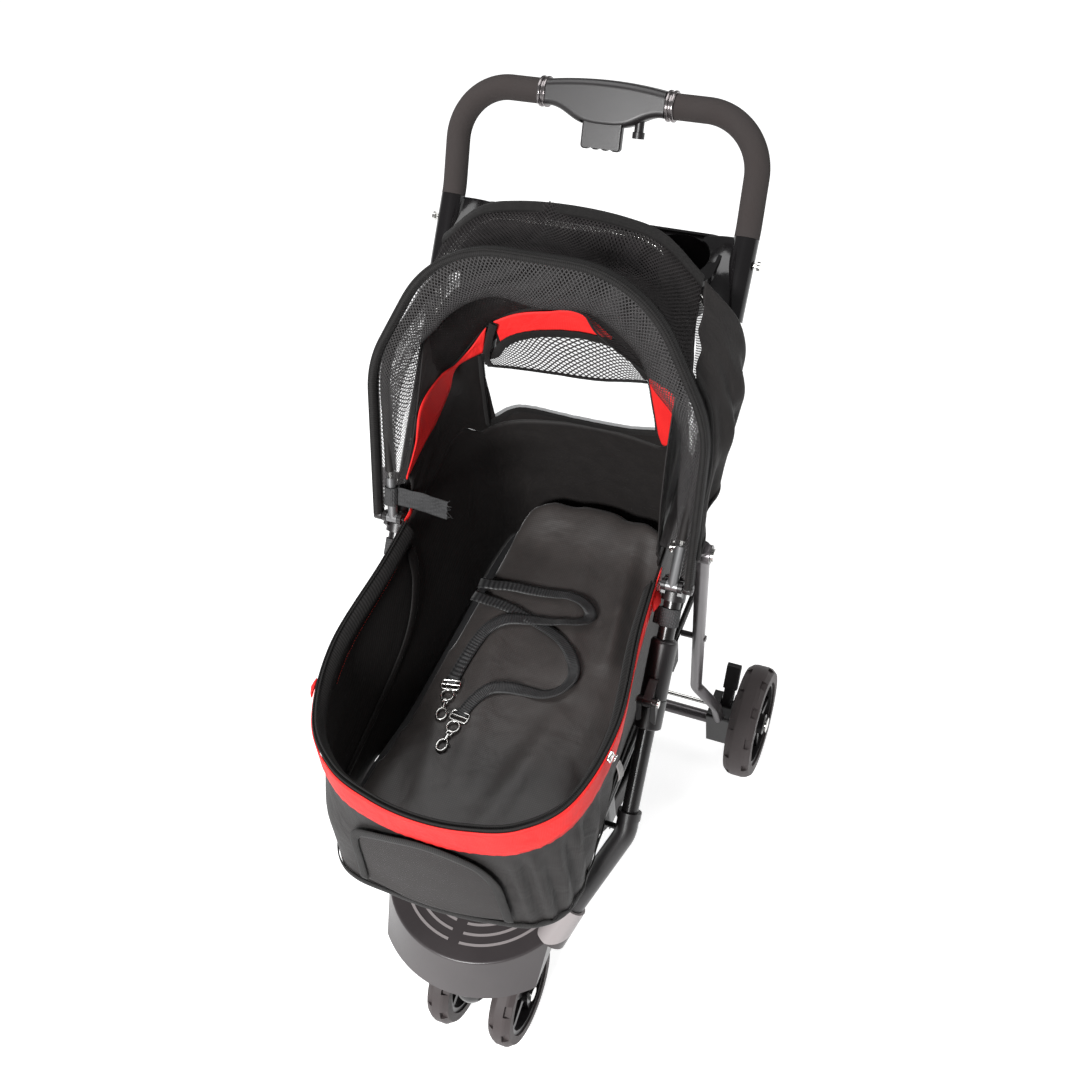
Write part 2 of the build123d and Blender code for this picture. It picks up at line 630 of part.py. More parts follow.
def whole(stations):
    return stations + [(-x, v) for x, v in reversed(stations[:-1])]


ROOF_FRONT = [(TRACK + 4, 244), (TRACK - 66, 317), (0, 335)]
ROOF_BACK = [(TRACK - 29, 98), (TRACK - 70, 131), (TRACK - 110, 142.5), (0, 146)]
SIDE_FRONT = [(TRACK + 33, 40), (TRACK + 25, 150), (TRACK + 4.5, 243)]
SIDE_BACK = [(TRACK + 10, 2), (TRACK + 1, 55), (TRACK - 28.5, 97)]


def canopy_roof():
    return shell(whole(ROOF_FRONT), whole(ROOF_BACK), 1.6)


def canopy_side():
    return shell(SIDE_FRONT, SIDE_BACK, 1.6)


def cover_mesh():
    """Slack netting of the front cover, hanging in folds inside the arch."""
    lean = 66.9
    a = math.radians(lean)
    place = Plane(origin=bow_pt(0, 0, lean), x_dir=(1, 0, 0), z_dir=(0, math.sin(a), -math.cos(a)))
    sign = place.y_dir.dot(Vector(0, math.cos(a), math.sin(a)))
    top = whole([(TRACK - 4, 226), (TRACK - 22, 258), (TRACK - 86, 310), (0, 326)])
    top = [(x, sign * v) for x, v in top]
    lens = extrude(place * make_face(Spline(*top) + Line(top[-1], top[0])), amount=12, both=True)
    wave = []
    for k in range(25):
        wave.append(((TRACK + 5) * (k / 12 - 1), 2.6 * math.sin(k * math.pi / 2.4)))
    folds = Plane(origin=bow_pt(0, 215, lean), x_dir=(1, 0, 0), z_dir=(0, math.cos(a), math.sin(a)))
    line = Spline(*wave)
    back = Spline(*[(x, y + 1.8) for x, y in wave])
    ends = [Line(p, (p[0], p[1] + 1.8)) for p in (wave[0], wave[-1])]
    strip = make_face(line + ends[0] + back + ends[1])
    sheet = extrude(folds * strip, amount=125)
    return sheet & lens


BASE = [(-313, 0), (-309, 58), (-297, 110), (-263, 142), (-205, 146), (-110, 136), (40, 132.5), (150, 131),
        (206, 121), (235, 95), (247, 50), (250, 0)]
CROWN = [(-303, 0), (-297, 50), (-277, 105), (-232, 153), (-143, 176), (-31, 159), (60, 152), (140, 148),
         (184, 136), (208, 106), (221, 54), (225, 0)]
HOOD = [(-304, 0), (-298, 54), (-279, 110), (-235, 154), (-150, 168), (-40, 151), (60, 148), (130, 145),
        (166, 133), (188, 103), (200, 52), (203, 0)]
CROWN_Z = 665.0
HOOD_Z = 880.0
SKIRT_LOW = 346.0       # front panel hangs below the floor
SKIRT_BACK = -184.0


def between(a, b, k):
    return [(p[0] + k * (q[0] - p[0]), p[1] + k * (q[1] - p[1])) for p, q in zip(a, b)]


def tub(grow):
    low = 330.0
    base = between(BASE, CROWN, (low - FLOOR_Z) / (CROWN_Z - FLOOR_Z))
    return loft([plan_face(base, low, grow), plan_face(CROWN, CROWN_Z, grow)], ruled=True)


def hood(grow):
    low = 600.0
    base = between(BASE, CROWN, (low - FLOOR_Z) / (CROWN_Z - FLOOR_Z))
    return loft([plan_face(base, low, grow), plan_face(HOOD, HOOD_Z, grow)], ruled=True)


def above_rim(lift=0.0):
    pts = [(-400, RIM_Z + lift + RIM_SLOPE * (-400 - RIM_Y))]
    turn = RIM_Y + (BACK_TOP - RIM_Z) / RIM_SLOPE
    pts += [(turn, BACK_TOP + lift), (400, BACK_TOP + lift), (400, 1000), (-400, 1000)]
    return side_plate(pts, -300, 300)


def cabin_shell():
    sheet = block((-300, 300), (-400, 400), (FLOOR_Z, FLOOR_Z + 2))
    body = tub(0) - (tub(-CLOTH) - sheet)
    hem = [(-400, SKIRT_LOW), (-290, SKIRT_LOW), (SKIRT_BACK, FLOOR_Z), (400, FLOOR_Z), (400, 300), (-400, 300)]
    body = body - side_plate(hem, -300, 300)
    return body - above_rim()


def rim_zipper():
    ring = tub(1.6) - tub(-CLOTH - 1.6)
    ring = ring - above_rim(7.0)
    ring = ring & above_rim(0.1)
    return ring & block((-300, 300), (-400, RIM_Y - 4), (400, 800))


def floor_board():
    return tub(-CLOTH - 7) & block((-300, 300), (-400, 400), (FLOOR_Z + 2.3, FLOOR_Z + 6.3))


def floor_pad():
    z = FLOOR_Z + 6.6
    rise = ((0, -16), (7, -10), (17, -11), (23, -20), (26, -50))
    return loft([plan_face(BASE, z + dz, grow) for dz, grow in rise])


def front_pocket():
    patch = tub(3.4) - tub(0.25)
    patch = patch & block((-104, 78), (-400, -200), (SKIRT_LOW + 18, 500))
    return patch


def zipper_pull():
    p = Vector(162.9, -196, RIM_Z + RIM_SLOPE * (-196 - RIM_Y))
    slider = block((p.X + 0.5, p.X + 5), (p.Y - 6, p.Y + 6), (p.Z - 6, p.Z + 2))
    ribbon = block((p.X + 2, p.X + 3.2), (p.Y - 4, p.Y + 4), (p.Z - 48, p.Z - 5.5))
    return slider + ribbon


def webbing(points, z, width=15.0, thick=1.2):
    path = Spline(*[Vector(x, y, z) for x, y in points])
    start = Plane(origin=path @ 0, x_dir=Vector(0, 0, 1), z_dir=path % 0)
    return sweep(start * Rectangle(thick, width), path)


STRAP_Z = FLOOR_Z + 33.6
STRAP_A = [(-118, 60), (-49, 53), (24, 26), (58, -20), (38, -57), (-12, -54), (-48, -72), (-56, -114)]
STRAP_B = [(-118, 80), (-50, 87), (8, 93), (40, 80), (38, 56), (6, 47), (-32, 46), (-66, 30), (-86, -6), (-87, -76)]


def leash_hook(x, y, heading, lift):
    frame = Box(20, 15, 2.4) - Pos(0, 3.4, 0) * Box(15, 4.2, 4) - Pos(0, -3.4, 0) * Box(15, 4.2, 4)
    ring = Cylinder(8.6, 2.4) - Cylinder(6.2, 3)
    snap = Box(6, 13, 3.6) + Pos(0, -12, 0) * (Cylinder(7.4, 2.8) - Cylinder(4.4, 3))
    pieces = [Pos(0, -7.5, lift) * frame, Pos(0, -23.9, 1.2) * ring, Pos(0, -39.3, 1.2) * snap]
    return [Pos(x, y, STRAP_Z) * Rot(0, 0, heading) * piece for piece in pieces]


def leash_hooks():
    pieces = leash_hook(-56, -108, -4, 2.1) + leash_hook(-87, -70, 10, 4.1)
    return Compound([s for p in pieces for s in p.solids()])


def basket():
    low, high = 246.0, 344.0

    def section(z, inset):
        w, f, b = 136 - inset, -158 + inset, 146 - inset
        return Pos(0, (f + b) / 2, z) * RectangleRounded(2 * w, b - f, 28 - inset / 2)
    outer = loft([section(low, 14), section(high, 0)])
    inner = loft([section(low + 2, 16), section(high + 0.5, 2)])
    body = outer - inner
    for sx in (-1, 1):
        for y in (-128, 112):
            strap = block((133.2, 134.9) if sx > 0 else (-134.9, -133.2), (y - 10, y + 10), (high - 24, RAIL_Z))
            body = body + strap
    return body


def floor_frame():
    bolt = on_tube(-156.0)
    pts = [(RAIL_X, bolt.Y - 6, RAIL_Z), (RAIL_X, 206, RAIL_Z), (-RAIL_X, 206, RAIL_Z), (-RAIL_X, bolt.Y - 6, RAIL_Z)]
    body = bent(pts, RAIL_R, 30)
    for s in (-1, 1):
        body = body + rod((s * RAIL_X, bolt.Y, RAIL_Z), (s * (TRACK - 3), bolt.Y, RAIL_Z), 3.5)
    return body


BACK_FOOT = Vector(0, 221.0, 641.0)
BACK_LEAN = Vector(0, -20.0, 250.0).normalized()


def back_plane(out=0.0):
    normal = Vector(0, -BACK_LEAN.Z, BACK_LEAN.Y)
    return Plane(origin=BACK_FOOT + normal * out, x_dir=(1, 0, 0), z_dir=normal)


def window_face(grow, out):
    place = back_plane(out)
    flip = place.y_dir.dot(BACK_LEAN)
    w, low, mid, top = 126 + grow, 5 - grow, 100, 140 + grow
    pts = [(w, low), (w, mid), (0, top), (-w, mid), (-w, low)]
    pts = [(x, y * flip) for x, y in pts]
    wire = Line(pts[0], pts[1]) + ThreePointArc(pts[1], pts[2], pts[3]) + Line(pts[3], pts[4]) + Line(pts[4], pts[0])
    return place * make_face(wire)


def lining():
    """Sides and back of the hood, behind the canopy bow and under the roof."""
    edge = [(34, 560), (34, 654), (192, 786), (192, 960), (400, 960), (400, 560)]
    behind = side_plate(edge, -300, 300)
    vault = [(-172, 560), (-166, 790), (-138, 852), (-76, 888), (0, 897), (76, 888), (138, 852), (166, 790), (172, 560)]
    vault = [Vector(x, -50, z) for x, z in vault]
    under = extrude(make_face(Spline(*vault) + Line(vault[-1], vault[0])), amount=320, dir=(0, 1, 0))
    return behind & under & above_rim(0.3)


def canopy_rear():
    sheet = (hood(0) - hood(-2.2)) & lining()
    return sheet - extrude(window_face(0.0, -24), amount=84)


def rear_window():
    return (hood(-0.5) - hood(-1.7)) & extrude(window_face(-0.2, -24), amount=84)


def velcro_strap():
    """Strap round the left bow socket, its end lying inwards over the rim."""
    a, b = on_bow(-TRACK, 16), on_bow(-TRACK, 40)
    splay = X * -2.4
    ring = rod(a + splay, b + splay, 8.0)
    face = BOW_FACE * 1.2
    flap = [on_bow(0, 16) - face, on_bow(0, 40) - face, on_bow(0, 40) + face, on_bow(0, 16) + face]
    ring = ring + side_plate([(p.Y, p.Z) for p in flap], 4 - TRACK, 62 - TRACK)
    return ring - rod(on_bow(-TRACK, 0), on_bow(-TRACK - 60 * FOOT_SPLAY, 60), 6.0 + PRESS)


def velcro_tab():
    """Tab that ties the cabin to the side tube above the lock sleeve."""
    ring = rod(on_tube(82), on_tube(104), 11.4)
    tab = [on_tube(82, -4), on_tube(104, -4), on_tube(104, 6), on_tube(82, 6)]
    body = ring + side_plate([(p.Y, p.Z) for p in tab], TRACK - 17.5, TRACK - 10)
    return body - rod(on_tube(70), on_tube(110), TUBE_R + PRESS)


NODES = {
    "lower_tubes": lambda: both(lower_tube()),
    "fold_blocks": lambda: both(fold_block()),
    "fold_pins": lambda: both(fold_pin()),
    "corner_fittings": lambda: both(corner_fitting()),
    "front_platform": front_platform,
    "floor_frame": floor_frame,
    "floor_board": floor_board,
    "cabin_shell": cabin_shell,
    "rim_zipper": rim_zipper,
    "zipper_pull": zipper_pull,
    "front_pocket": front_pocket,
    "floor_pad": floor_pad,
    "leash_strap_a": lambda: webbing(STRAP_A, STRAP_Z),
    "leash_strap_b": lambda: webbing(STRAP_B, STRAP_Z + 2.0),
    "leash_hooks": leash_hooks,
    "basket": basket,
    "push_tube": push_tube,
    "hinge_cores": lambda: both(hinge_core()),
    "foam_grip_right": foam_grip,
    "foam_grip_left": lambda: foam_grip().mirror(Plane.YZ),
    "grip_collars": lambda: both(grip_collar()),
    "handle_housing": handle_housing,
    "tray": tray,
    "tray_screws": lambda: both(tray_screw()),
    "canopy_clamps": lambda: both(canopy_clamp()),
    "leg_pivot_bolts": lambda: both(leg_pivot_bolt()),
    "rear_bow": rear_bow,
    "canopy_roof": canopy_roof,
    "canopy_side_right": canopy_side,
    "canopy_side_left": lambda: canopy_side().mirror(Plane.YZ),
    "canopy_rear": canopy_rear,
    "rear_window": rear_window,
    "velcro_tabs": lambda: both(velcro_tab()),
    "lock_sleeve_right": lock_sleeve,
    "lock_sleeve_left": lambda: lock_sleeve().mirror(Plane.YZ),
    "fold_trigger": fold_trigger,
    "lock_button": lock_button,
    "canopy_bow": canopy_bow,
    "velcro_strap": velcro_strap,
    "bow_sockets": lambda: both(bow_socket()),
    "cover_mesh": cover_mesh,
    "cover_edge": cover_edge,
    "rear_leg_right": rear_leg,
    "rear_leg_left": lambda: rear_leg().mirror(Plane.YZ),
    "rear_cross_tube": lambda: rod((-159.8, CROSS_Y, REAR_R), (159.8, CROSS_Y, REAR_R), CROSS_R),
    "wheel_brackets": lambda: both(wheel_bracket()),
    "rear_axles": lambda: both(rear_axle()),
    "brake_pedals": lambda: both(brake_pedal()),
    "brake_rod": lambda: rod((-186.5, ROD_Y, ROD_Z), (186.5, ROD_Y, ROD_Z), ROD_R),
    "caster_fork": caster_fork,
    "front_axle": front_axle,
}
for side, s in (("right", 1), ("left", -1)):
    NODES["rear_tyre_" + side] = lambda s=s: tyre(REAR_R, REAR_W, 20, 11, s * WHEEL_X, WHEEL_Y, REAR_R)
    NODES["rear_rim_" + side] = lambda s=s: rim(REAR_R - 20.1, REAR_W - 6, 15, REAR_W + 3, AXLE_R, 5, s * WHEEL_X, WHEEL_Y, REAR_R)
    NODES["front_tyre_" + side] = lambda s=s: tyre(FRONT_R, FRONT_W, 17, 10, s * CASTER_X, CASTER_Y, FRONT_R)
    NODES["front_rim_" + side] = lambda s=s: rim(FRONT_R - 17.1, FRONT_W - 5, 13, FRONT_W + 2, 5, 5, s * CASTER_X, CASTER_Y, FRONT_R)

for node, make in NODES.items():
    save(node, make())
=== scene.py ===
"""Pet stroller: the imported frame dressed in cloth, netting, webbing and finishes."""
import json
from math import atan2, copysign, cos, exp, pi, radians, sin, tan

import bmesh
import bpy
from mathutils import Matrix, Vector, bvhtree, noise
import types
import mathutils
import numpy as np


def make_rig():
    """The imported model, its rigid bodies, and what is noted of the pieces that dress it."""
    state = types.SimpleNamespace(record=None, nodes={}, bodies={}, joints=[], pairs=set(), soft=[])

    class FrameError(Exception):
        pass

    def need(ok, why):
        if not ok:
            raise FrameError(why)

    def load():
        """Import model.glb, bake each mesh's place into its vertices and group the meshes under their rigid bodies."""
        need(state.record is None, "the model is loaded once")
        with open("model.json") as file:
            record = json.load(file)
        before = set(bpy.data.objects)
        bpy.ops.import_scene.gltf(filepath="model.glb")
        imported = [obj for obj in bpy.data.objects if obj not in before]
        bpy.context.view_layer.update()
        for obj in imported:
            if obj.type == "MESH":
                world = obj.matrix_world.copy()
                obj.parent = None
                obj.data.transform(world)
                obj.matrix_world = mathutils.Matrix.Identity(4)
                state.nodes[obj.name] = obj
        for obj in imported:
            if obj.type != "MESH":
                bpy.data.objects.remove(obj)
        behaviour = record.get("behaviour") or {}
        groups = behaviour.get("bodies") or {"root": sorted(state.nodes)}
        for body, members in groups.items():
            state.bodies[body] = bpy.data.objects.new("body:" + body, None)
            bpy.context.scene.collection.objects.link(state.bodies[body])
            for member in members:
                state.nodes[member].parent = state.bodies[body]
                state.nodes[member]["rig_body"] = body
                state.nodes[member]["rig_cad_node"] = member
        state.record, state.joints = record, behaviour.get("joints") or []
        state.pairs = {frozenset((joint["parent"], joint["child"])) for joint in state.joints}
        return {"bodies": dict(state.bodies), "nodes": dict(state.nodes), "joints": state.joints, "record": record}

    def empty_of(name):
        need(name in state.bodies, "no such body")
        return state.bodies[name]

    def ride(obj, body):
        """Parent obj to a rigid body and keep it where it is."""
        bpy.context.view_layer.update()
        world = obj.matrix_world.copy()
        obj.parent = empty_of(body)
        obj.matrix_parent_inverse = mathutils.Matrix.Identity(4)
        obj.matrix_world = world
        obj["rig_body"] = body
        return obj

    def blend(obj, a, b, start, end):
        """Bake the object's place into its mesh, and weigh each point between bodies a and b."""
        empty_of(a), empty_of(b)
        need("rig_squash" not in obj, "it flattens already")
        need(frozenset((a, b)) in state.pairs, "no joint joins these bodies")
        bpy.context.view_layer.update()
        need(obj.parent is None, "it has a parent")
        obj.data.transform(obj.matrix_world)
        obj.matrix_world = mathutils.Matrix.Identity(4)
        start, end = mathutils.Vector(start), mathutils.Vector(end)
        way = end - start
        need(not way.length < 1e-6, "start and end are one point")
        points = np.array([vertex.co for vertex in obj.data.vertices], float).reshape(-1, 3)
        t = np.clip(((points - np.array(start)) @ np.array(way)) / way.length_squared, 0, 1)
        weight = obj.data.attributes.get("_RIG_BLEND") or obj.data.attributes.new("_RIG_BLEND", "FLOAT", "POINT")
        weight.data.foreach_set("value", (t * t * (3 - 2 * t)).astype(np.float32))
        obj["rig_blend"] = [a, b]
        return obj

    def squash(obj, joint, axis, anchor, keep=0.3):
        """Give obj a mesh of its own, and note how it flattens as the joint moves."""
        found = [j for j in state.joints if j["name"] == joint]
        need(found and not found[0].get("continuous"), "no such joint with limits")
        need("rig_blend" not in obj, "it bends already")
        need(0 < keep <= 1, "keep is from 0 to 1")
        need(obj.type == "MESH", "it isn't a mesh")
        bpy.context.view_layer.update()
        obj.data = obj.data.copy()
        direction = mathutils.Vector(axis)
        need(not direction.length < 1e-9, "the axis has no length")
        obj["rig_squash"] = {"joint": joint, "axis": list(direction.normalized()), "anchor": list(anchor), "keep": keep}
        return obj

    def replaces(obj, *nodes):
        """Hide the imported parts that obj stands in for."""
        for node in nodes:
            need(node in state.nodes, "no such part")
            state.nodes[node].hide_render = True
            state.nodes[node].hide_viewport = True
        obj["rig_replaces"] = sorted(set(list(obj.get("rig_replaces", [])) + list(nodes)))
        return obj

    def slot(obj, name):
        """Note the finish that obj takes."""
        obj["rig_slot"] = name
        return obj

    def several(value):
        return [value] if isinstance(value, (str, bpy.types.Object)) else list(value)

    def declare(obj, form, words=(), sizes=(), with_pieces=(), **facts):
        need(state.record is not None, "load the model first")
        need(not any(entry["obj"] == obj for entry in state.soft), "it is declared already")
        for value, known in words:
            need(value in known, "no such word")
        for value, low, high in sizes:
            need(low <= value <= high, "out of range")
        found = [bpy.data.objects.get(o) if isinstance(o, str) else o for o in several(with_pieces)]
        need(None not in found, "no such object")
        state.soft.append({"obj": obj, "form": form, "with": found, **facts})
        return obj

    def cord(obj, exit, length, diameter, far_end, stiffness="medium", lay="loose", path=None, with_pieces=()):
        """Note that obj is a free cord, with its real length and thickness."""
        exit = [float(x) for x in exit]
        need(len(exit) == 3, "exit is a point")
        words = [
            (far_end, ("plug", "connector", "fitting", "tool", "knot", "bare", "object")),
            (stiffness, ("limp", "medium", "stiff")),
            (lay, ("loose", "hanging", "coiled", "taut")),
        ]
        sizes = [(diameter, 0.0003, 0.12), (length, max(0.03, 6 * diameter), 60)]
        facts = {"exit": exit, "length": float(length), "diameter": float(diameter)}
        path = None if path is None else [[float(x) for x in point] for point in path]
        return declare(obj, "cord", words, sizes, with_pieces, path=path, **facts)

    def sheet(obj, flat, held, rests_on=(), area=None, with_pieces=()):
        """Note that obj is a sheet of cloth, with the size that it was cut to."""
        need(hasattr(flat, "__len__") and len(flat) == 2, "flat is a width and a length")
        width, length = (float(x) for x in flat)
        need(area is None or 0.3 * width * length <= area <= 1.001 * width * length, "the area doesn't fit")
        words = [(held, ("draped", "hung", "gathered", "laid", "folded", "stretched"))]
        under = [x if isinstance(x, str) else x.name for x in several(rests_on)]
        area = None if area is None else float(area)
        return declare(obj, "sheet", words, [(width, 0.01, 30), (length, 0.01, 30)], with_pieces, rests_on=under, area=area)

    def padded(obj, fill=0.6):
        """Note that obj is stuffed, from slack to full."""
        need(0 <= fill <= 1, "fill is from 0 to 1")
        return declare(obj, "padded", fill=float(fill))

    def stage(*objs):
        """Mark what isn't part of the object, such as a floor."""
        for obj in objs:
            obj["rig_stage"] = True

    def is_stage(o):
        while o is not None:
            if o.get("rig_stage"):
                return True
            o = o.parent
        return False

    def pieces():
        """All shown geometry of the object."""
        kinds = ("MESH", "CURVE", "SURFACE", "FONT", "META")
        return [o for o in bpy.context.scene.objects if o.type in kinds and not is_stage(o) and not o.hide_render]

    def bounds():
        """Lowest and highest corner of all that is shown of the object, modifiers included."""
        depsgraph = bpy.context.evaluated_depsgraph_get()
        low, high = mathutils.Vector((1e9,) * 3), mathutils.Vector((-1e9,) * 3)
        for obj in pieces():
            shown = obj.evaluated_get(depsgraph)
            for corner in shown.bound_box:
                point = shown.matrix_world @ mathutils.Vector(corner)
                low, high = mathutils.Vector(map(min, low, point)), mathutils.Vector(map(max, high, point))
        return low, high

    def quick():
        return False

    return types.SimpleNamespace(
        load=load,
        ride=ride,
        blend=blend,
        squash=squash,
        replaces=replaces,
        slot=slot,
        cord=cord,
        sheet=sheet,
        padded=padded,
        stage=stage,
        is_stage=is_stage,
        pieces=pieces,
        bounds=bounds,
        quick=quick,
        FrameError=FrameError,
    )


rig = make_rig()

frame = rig.load()
CAD_BOX = [list(corner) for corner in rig.bounds()]
NODES = frame["nodes"]

scene = bpy.context.scene
scene.view_settings.view_transform = "Standard"


# Camera, light and floor

# Fitted to the photo: place, a point looked at, roll in degrees and focal length in millimetres
CAMERA_PLACE, CAMERA_AIM = Vector((0.4627, -0.797, 1.6794)), Vector((-0.0429, 0.121, 0.5))
CAMERA_ROLL, CAMERA_LENS = -8.776, 42.03


def set_camera():
    look = (CAMERA_AIM - CAMERA_PLACE).normalized()
    level = look.cross(Vector((0, 0, 1))).normalized()
    over = level.cross(look)
    roll = radians(CAMERA_ROLL)
    right = cos(roll) * level + sin(roll) * over
    up = cos(roll) * over - sin(roll) * level
    lens = bpy.data.cameras.new("camera")
    lens.lens, lens.sensor_width, lens.sensor_fit = CAMERA_LENS, 36, "HORIZONTAL"
    lens.clip_start, lens.clip_end = 0.05, 60
    camera = bpy.data.objects.new("camera", lens)
    camera.matrix_world = Matrix((right, up, -look)).transposed().to_4x4()
    camera.location = CAMERA_PLACE
    scene.collection.objects.link(camera)
    scene.camera = camera


def softbox(name, place, aim, size, watts):
    lamp = bpy.data.lights.new(name, "AREA")
    lamp.shape, lamp.size, lamp.size_y, lamp.energy = "RECTANGLE", size[0], size[1], watts
    holder = bpy.data.objects.new(name, lamp)
    holder.location = place
    holder.rotation_euler = (Vector(aim) - Vector(place)).to_track_quat("-Z", "Y").to_euler()
    scene.collection.objects.link(holder)


def linear(colour):
    """sRGB hex to linear red, green, blue and alpha."""
    parts = [int(colour[k:k + 2], 16) / 255 for k in (1, 3, 5)]
    return [c / 12.92 if c <= 0.04045 else ((c + 0.055) / 1.055) ** 2.4 for c in parts] + [1.0]


def add(mat, kind, links=None, **settings):
    """Adds one shader node to a material, with its settings, values and links."""
    made = mat.node_tree.nodes.new("ShaderNode" + kind)
    for name, value in settings.items():
        setattr(made, name, value)
    for socket, value in (links or {}).items():
        if isinstance(value, bpy.types.NodeSocket):
            mat.node_tree.links.new(value, made.inputs[socket])
        else:
            made.inputs[socket].default_value = value
    return made


def join(mat, operation, *values, **settings):
    """Adds one Math node and gives its result."""
    return add(mat, "Math", dict(enumerate(values)), operation=operation, **settings).outputs[0]


PAPER_GLOW = 0.80       # light of its own, so that the paper shows white


def set_stage():
    world = bpy.data.worlds.new("studio")
    world.use_nodes = True
    sky = world.node_tree.nodes["Background"].inputs
    sky["Color"].default_value, sky["Strength"].default_value = linear("#f4f5f6"), 0.22
    scene.world = world
    softbox("key_front", (-0.2, -2.3, 1.9), (0, 0, 0.5), (0.7, 0.7), 105)
    softbox("overhead", (-0.5, 0.5, 2.5), (0, 0.05, 0.4), (1.4, 1.2), 20)
    softbox("right_back", (1.9, 1.1, 1.7), (0, 0, 0.6), (0.7, 1.6), 16)
    bm = bmesh.new()
    bmesh.ops.create_circle(bm, cap_ends=True, segments=64, radius=12)
    mesh = bpy.data.meshes.new("floor")
    bm.to_mesh(mesh)
    bm.free()
    floor = bpy.data.objects.new("floor", mesh)
    floor.location.z = -0.0005
    scene.collection.objects.link(floor)
    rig.stage(floor)
    # Paper sweep: white to the eye, with the shadow left in
    paper = bpy.data.materials.new("paper_sweep")
    paper.use_nodes = True
    paper.node_tree.nodes.clear()
    path = add(paper, "LightPath").outputs
    seen = join(paper, "ADD", path["Is Camera Ray"], path["Is Glossy Ray"])
    seen = join(paper, "ADD", seen, path["Is Transmission Ray"], use_clamp=True)
    level = join(paper, "MULTIPLY", seen, PAPER_GLOW)
    glow = add(paper, "Emission", {"Color": linear("#ffffff"), "Strength": level})
    matt = add(paper, "BsdfDiffuse", {"Color": linear("#d9d9d9")})
    both = add(paper, "AddShader", {0: glow.outputs[0], 1: matt.outputs[0]})
    add(paper, "OutputMaterial", {"Surface": both.outputs[0]})
    mesh.materials.append(paper)


set_camera()
set_stage()


# Finishes. Pattern scales come from real sizes in metres.

BAND = pi / 10          # scale of a Wave Texture times its pitch
THREAD_SHADE, PATCH_SHADE = 0.45, 0.6   # how far threads and uneven dye lighten woven cloth
FOLD_DEPTH, THREAD_DEPTH, KNOT_DEPTH, GRID_DEPTH, GRAIN_DEPTH = 0.004, 0.0006, 0.0005, 0.0003, 0.0004
HOLE_EDGE = 0.12        # how softly a netting's holes end
HANDLED = 0.06          # size of the patches worn by handling


def new_finish(name, base, **sockets):
    mat = bpy.data.materials.new(name)
    mat.use_nodes = True
    shader = mat.node_tree.nodes["Principled BSDF"]
    shader.inputs["Base Color"].default_value = linear(base)
    for socket, value in sockets.items():
        shader.inputs[socket.replace("_", " ")].default_value = value
    return mat, shader


def stripes(mat, where, pitch, direction, **links):
    """Bands one pitch apart, in metres."""
    links = {"Vector": where, "Scale": BAND / pitch, **links}
    return add(mat, "TexWave", links, bands_direction=direction).outputs["Fac"]


def mottle(mat, where, size, detail, **links):
    """Patches of about the given size, in metres."""
    links = {"Vector": where, "Scale": 1 / size, "Detail": detail, **links}
    return add(mat, "TexNoise", links).outputs["Fac"]


def tint(mat, shader, share, dark, light):
    """Lets the base colour run from dark to light."""
    mix = add(mat, "Mix", {0: share, 6: dark, 7: light}, data_type="RGBA")
    mat.node_tree.links.new(mix.outputs[2], shader.inputs["Base Color"])


def emboss(mat, shader, height, strength, distance, **links):
    """Raises a pattern on the surface, by a distance in metres."""
    bump = add(mat, "Bump", {"Height": height, "Strength": strength, "Distance": distance, **links})
    mat.node_tree.links.new(bump.outputs[0], shader.inputs["Normal"])
    return bump.outputs[0]


def woven(name, dark, light, pitch, crumple, space="UV", relief=0.25, **sockets):
    """Plain-weave cloth: two thread directions, slightly uneven in shade, over soft creases."""
    mat, shader = new_finish(name, dark, **sockets)
    where = add(mat, "TexCoord").outputs[space]
    thread = join(mat, "MULTIPLY", stripes(mat, where, pitch, "X"), stripes(mat, where, pitch, "Y"))
    share = join(mat, "MULTIPLY", thread, THREAD_SHADE)
    share = join(mat, "MULTIPLY_ADD", mottle(mat, where, 0.03, 5.0), PATCH_SHADE, share)
    tint(mat, shader, share, linear(dark), linear(light))
    fold = emboss(mat, shader, mottle(mat, where, crumple, 2.0, Distortion=0.6), 0.5, FOLD_DEPTH)
    emboss(mat, shader, thread, relief, THREAD_DEPTH, Normal=fold)
    return mat


# Polyester oxford cloth, woven and coated: dull black with a faint bloom.
# Its threads are 0.6 mm apart, drawn at 2 mm to show.
BLACK_CLOTH = woven("oxford_cloth_black", "#151313", "#2b2827", 0.002, 0.045, Roughness=0.6,
                    Specular_IOR_Level=0.25, Sheen_Weight=0.03, Sheen_Roughness=0.4)
# Nylon taffeta, dyed red: smoother and a little glossier than the black
RED_CLOTH = woven("nylon_taffeta_red", "#dc1c22", "#ff3b34", 0.002, 0.02, Roughness=0.6,
                  Specular_IOR_Level=0.25)
# Brushed polyester of the pad: soft black with a wide sheen on the folds
PAD_CLOTH = woven("brushed_polyester_black", "#2b2827", "#4a4543", 0.0024, 0.05, space="Object",
                  relief=0.15, Roughness=0.46, Sheen_Weight=0.35, Sheen_Roughness=0.35)


def ribbed(name, dark, light, pitch, direction, **sockets):
    """Tape or webbing with ribs across its length."""
    mat, shader = new_finish(name, dark, **sockets)
    where = add(mat, "TexCoord").outputs["UV"]
    rib = stripes(mat, where, pitch, direction, Distortion=0.3)
    share = join(mat, "MULTIPLY", rib, mottle(mat, where, 0.012, 4.0))
    tint(mat, shader, share, linear(dark), linear(light))
    emboss(mat, shader, rib, 0.5, THREAD_DEPTH)
    return mat


# Zipper tape and grosgrain binding: ribs 1 mm apart, drawn at 2.4 mm to show
TAPE = ribbed("grosgrain_tape_black", "#0f0e0e", "#2a2827", 0.0024, "X", Roughness=0.7,
              Specular_IOR_Level=0.25, Sheen_Weight=0.04)
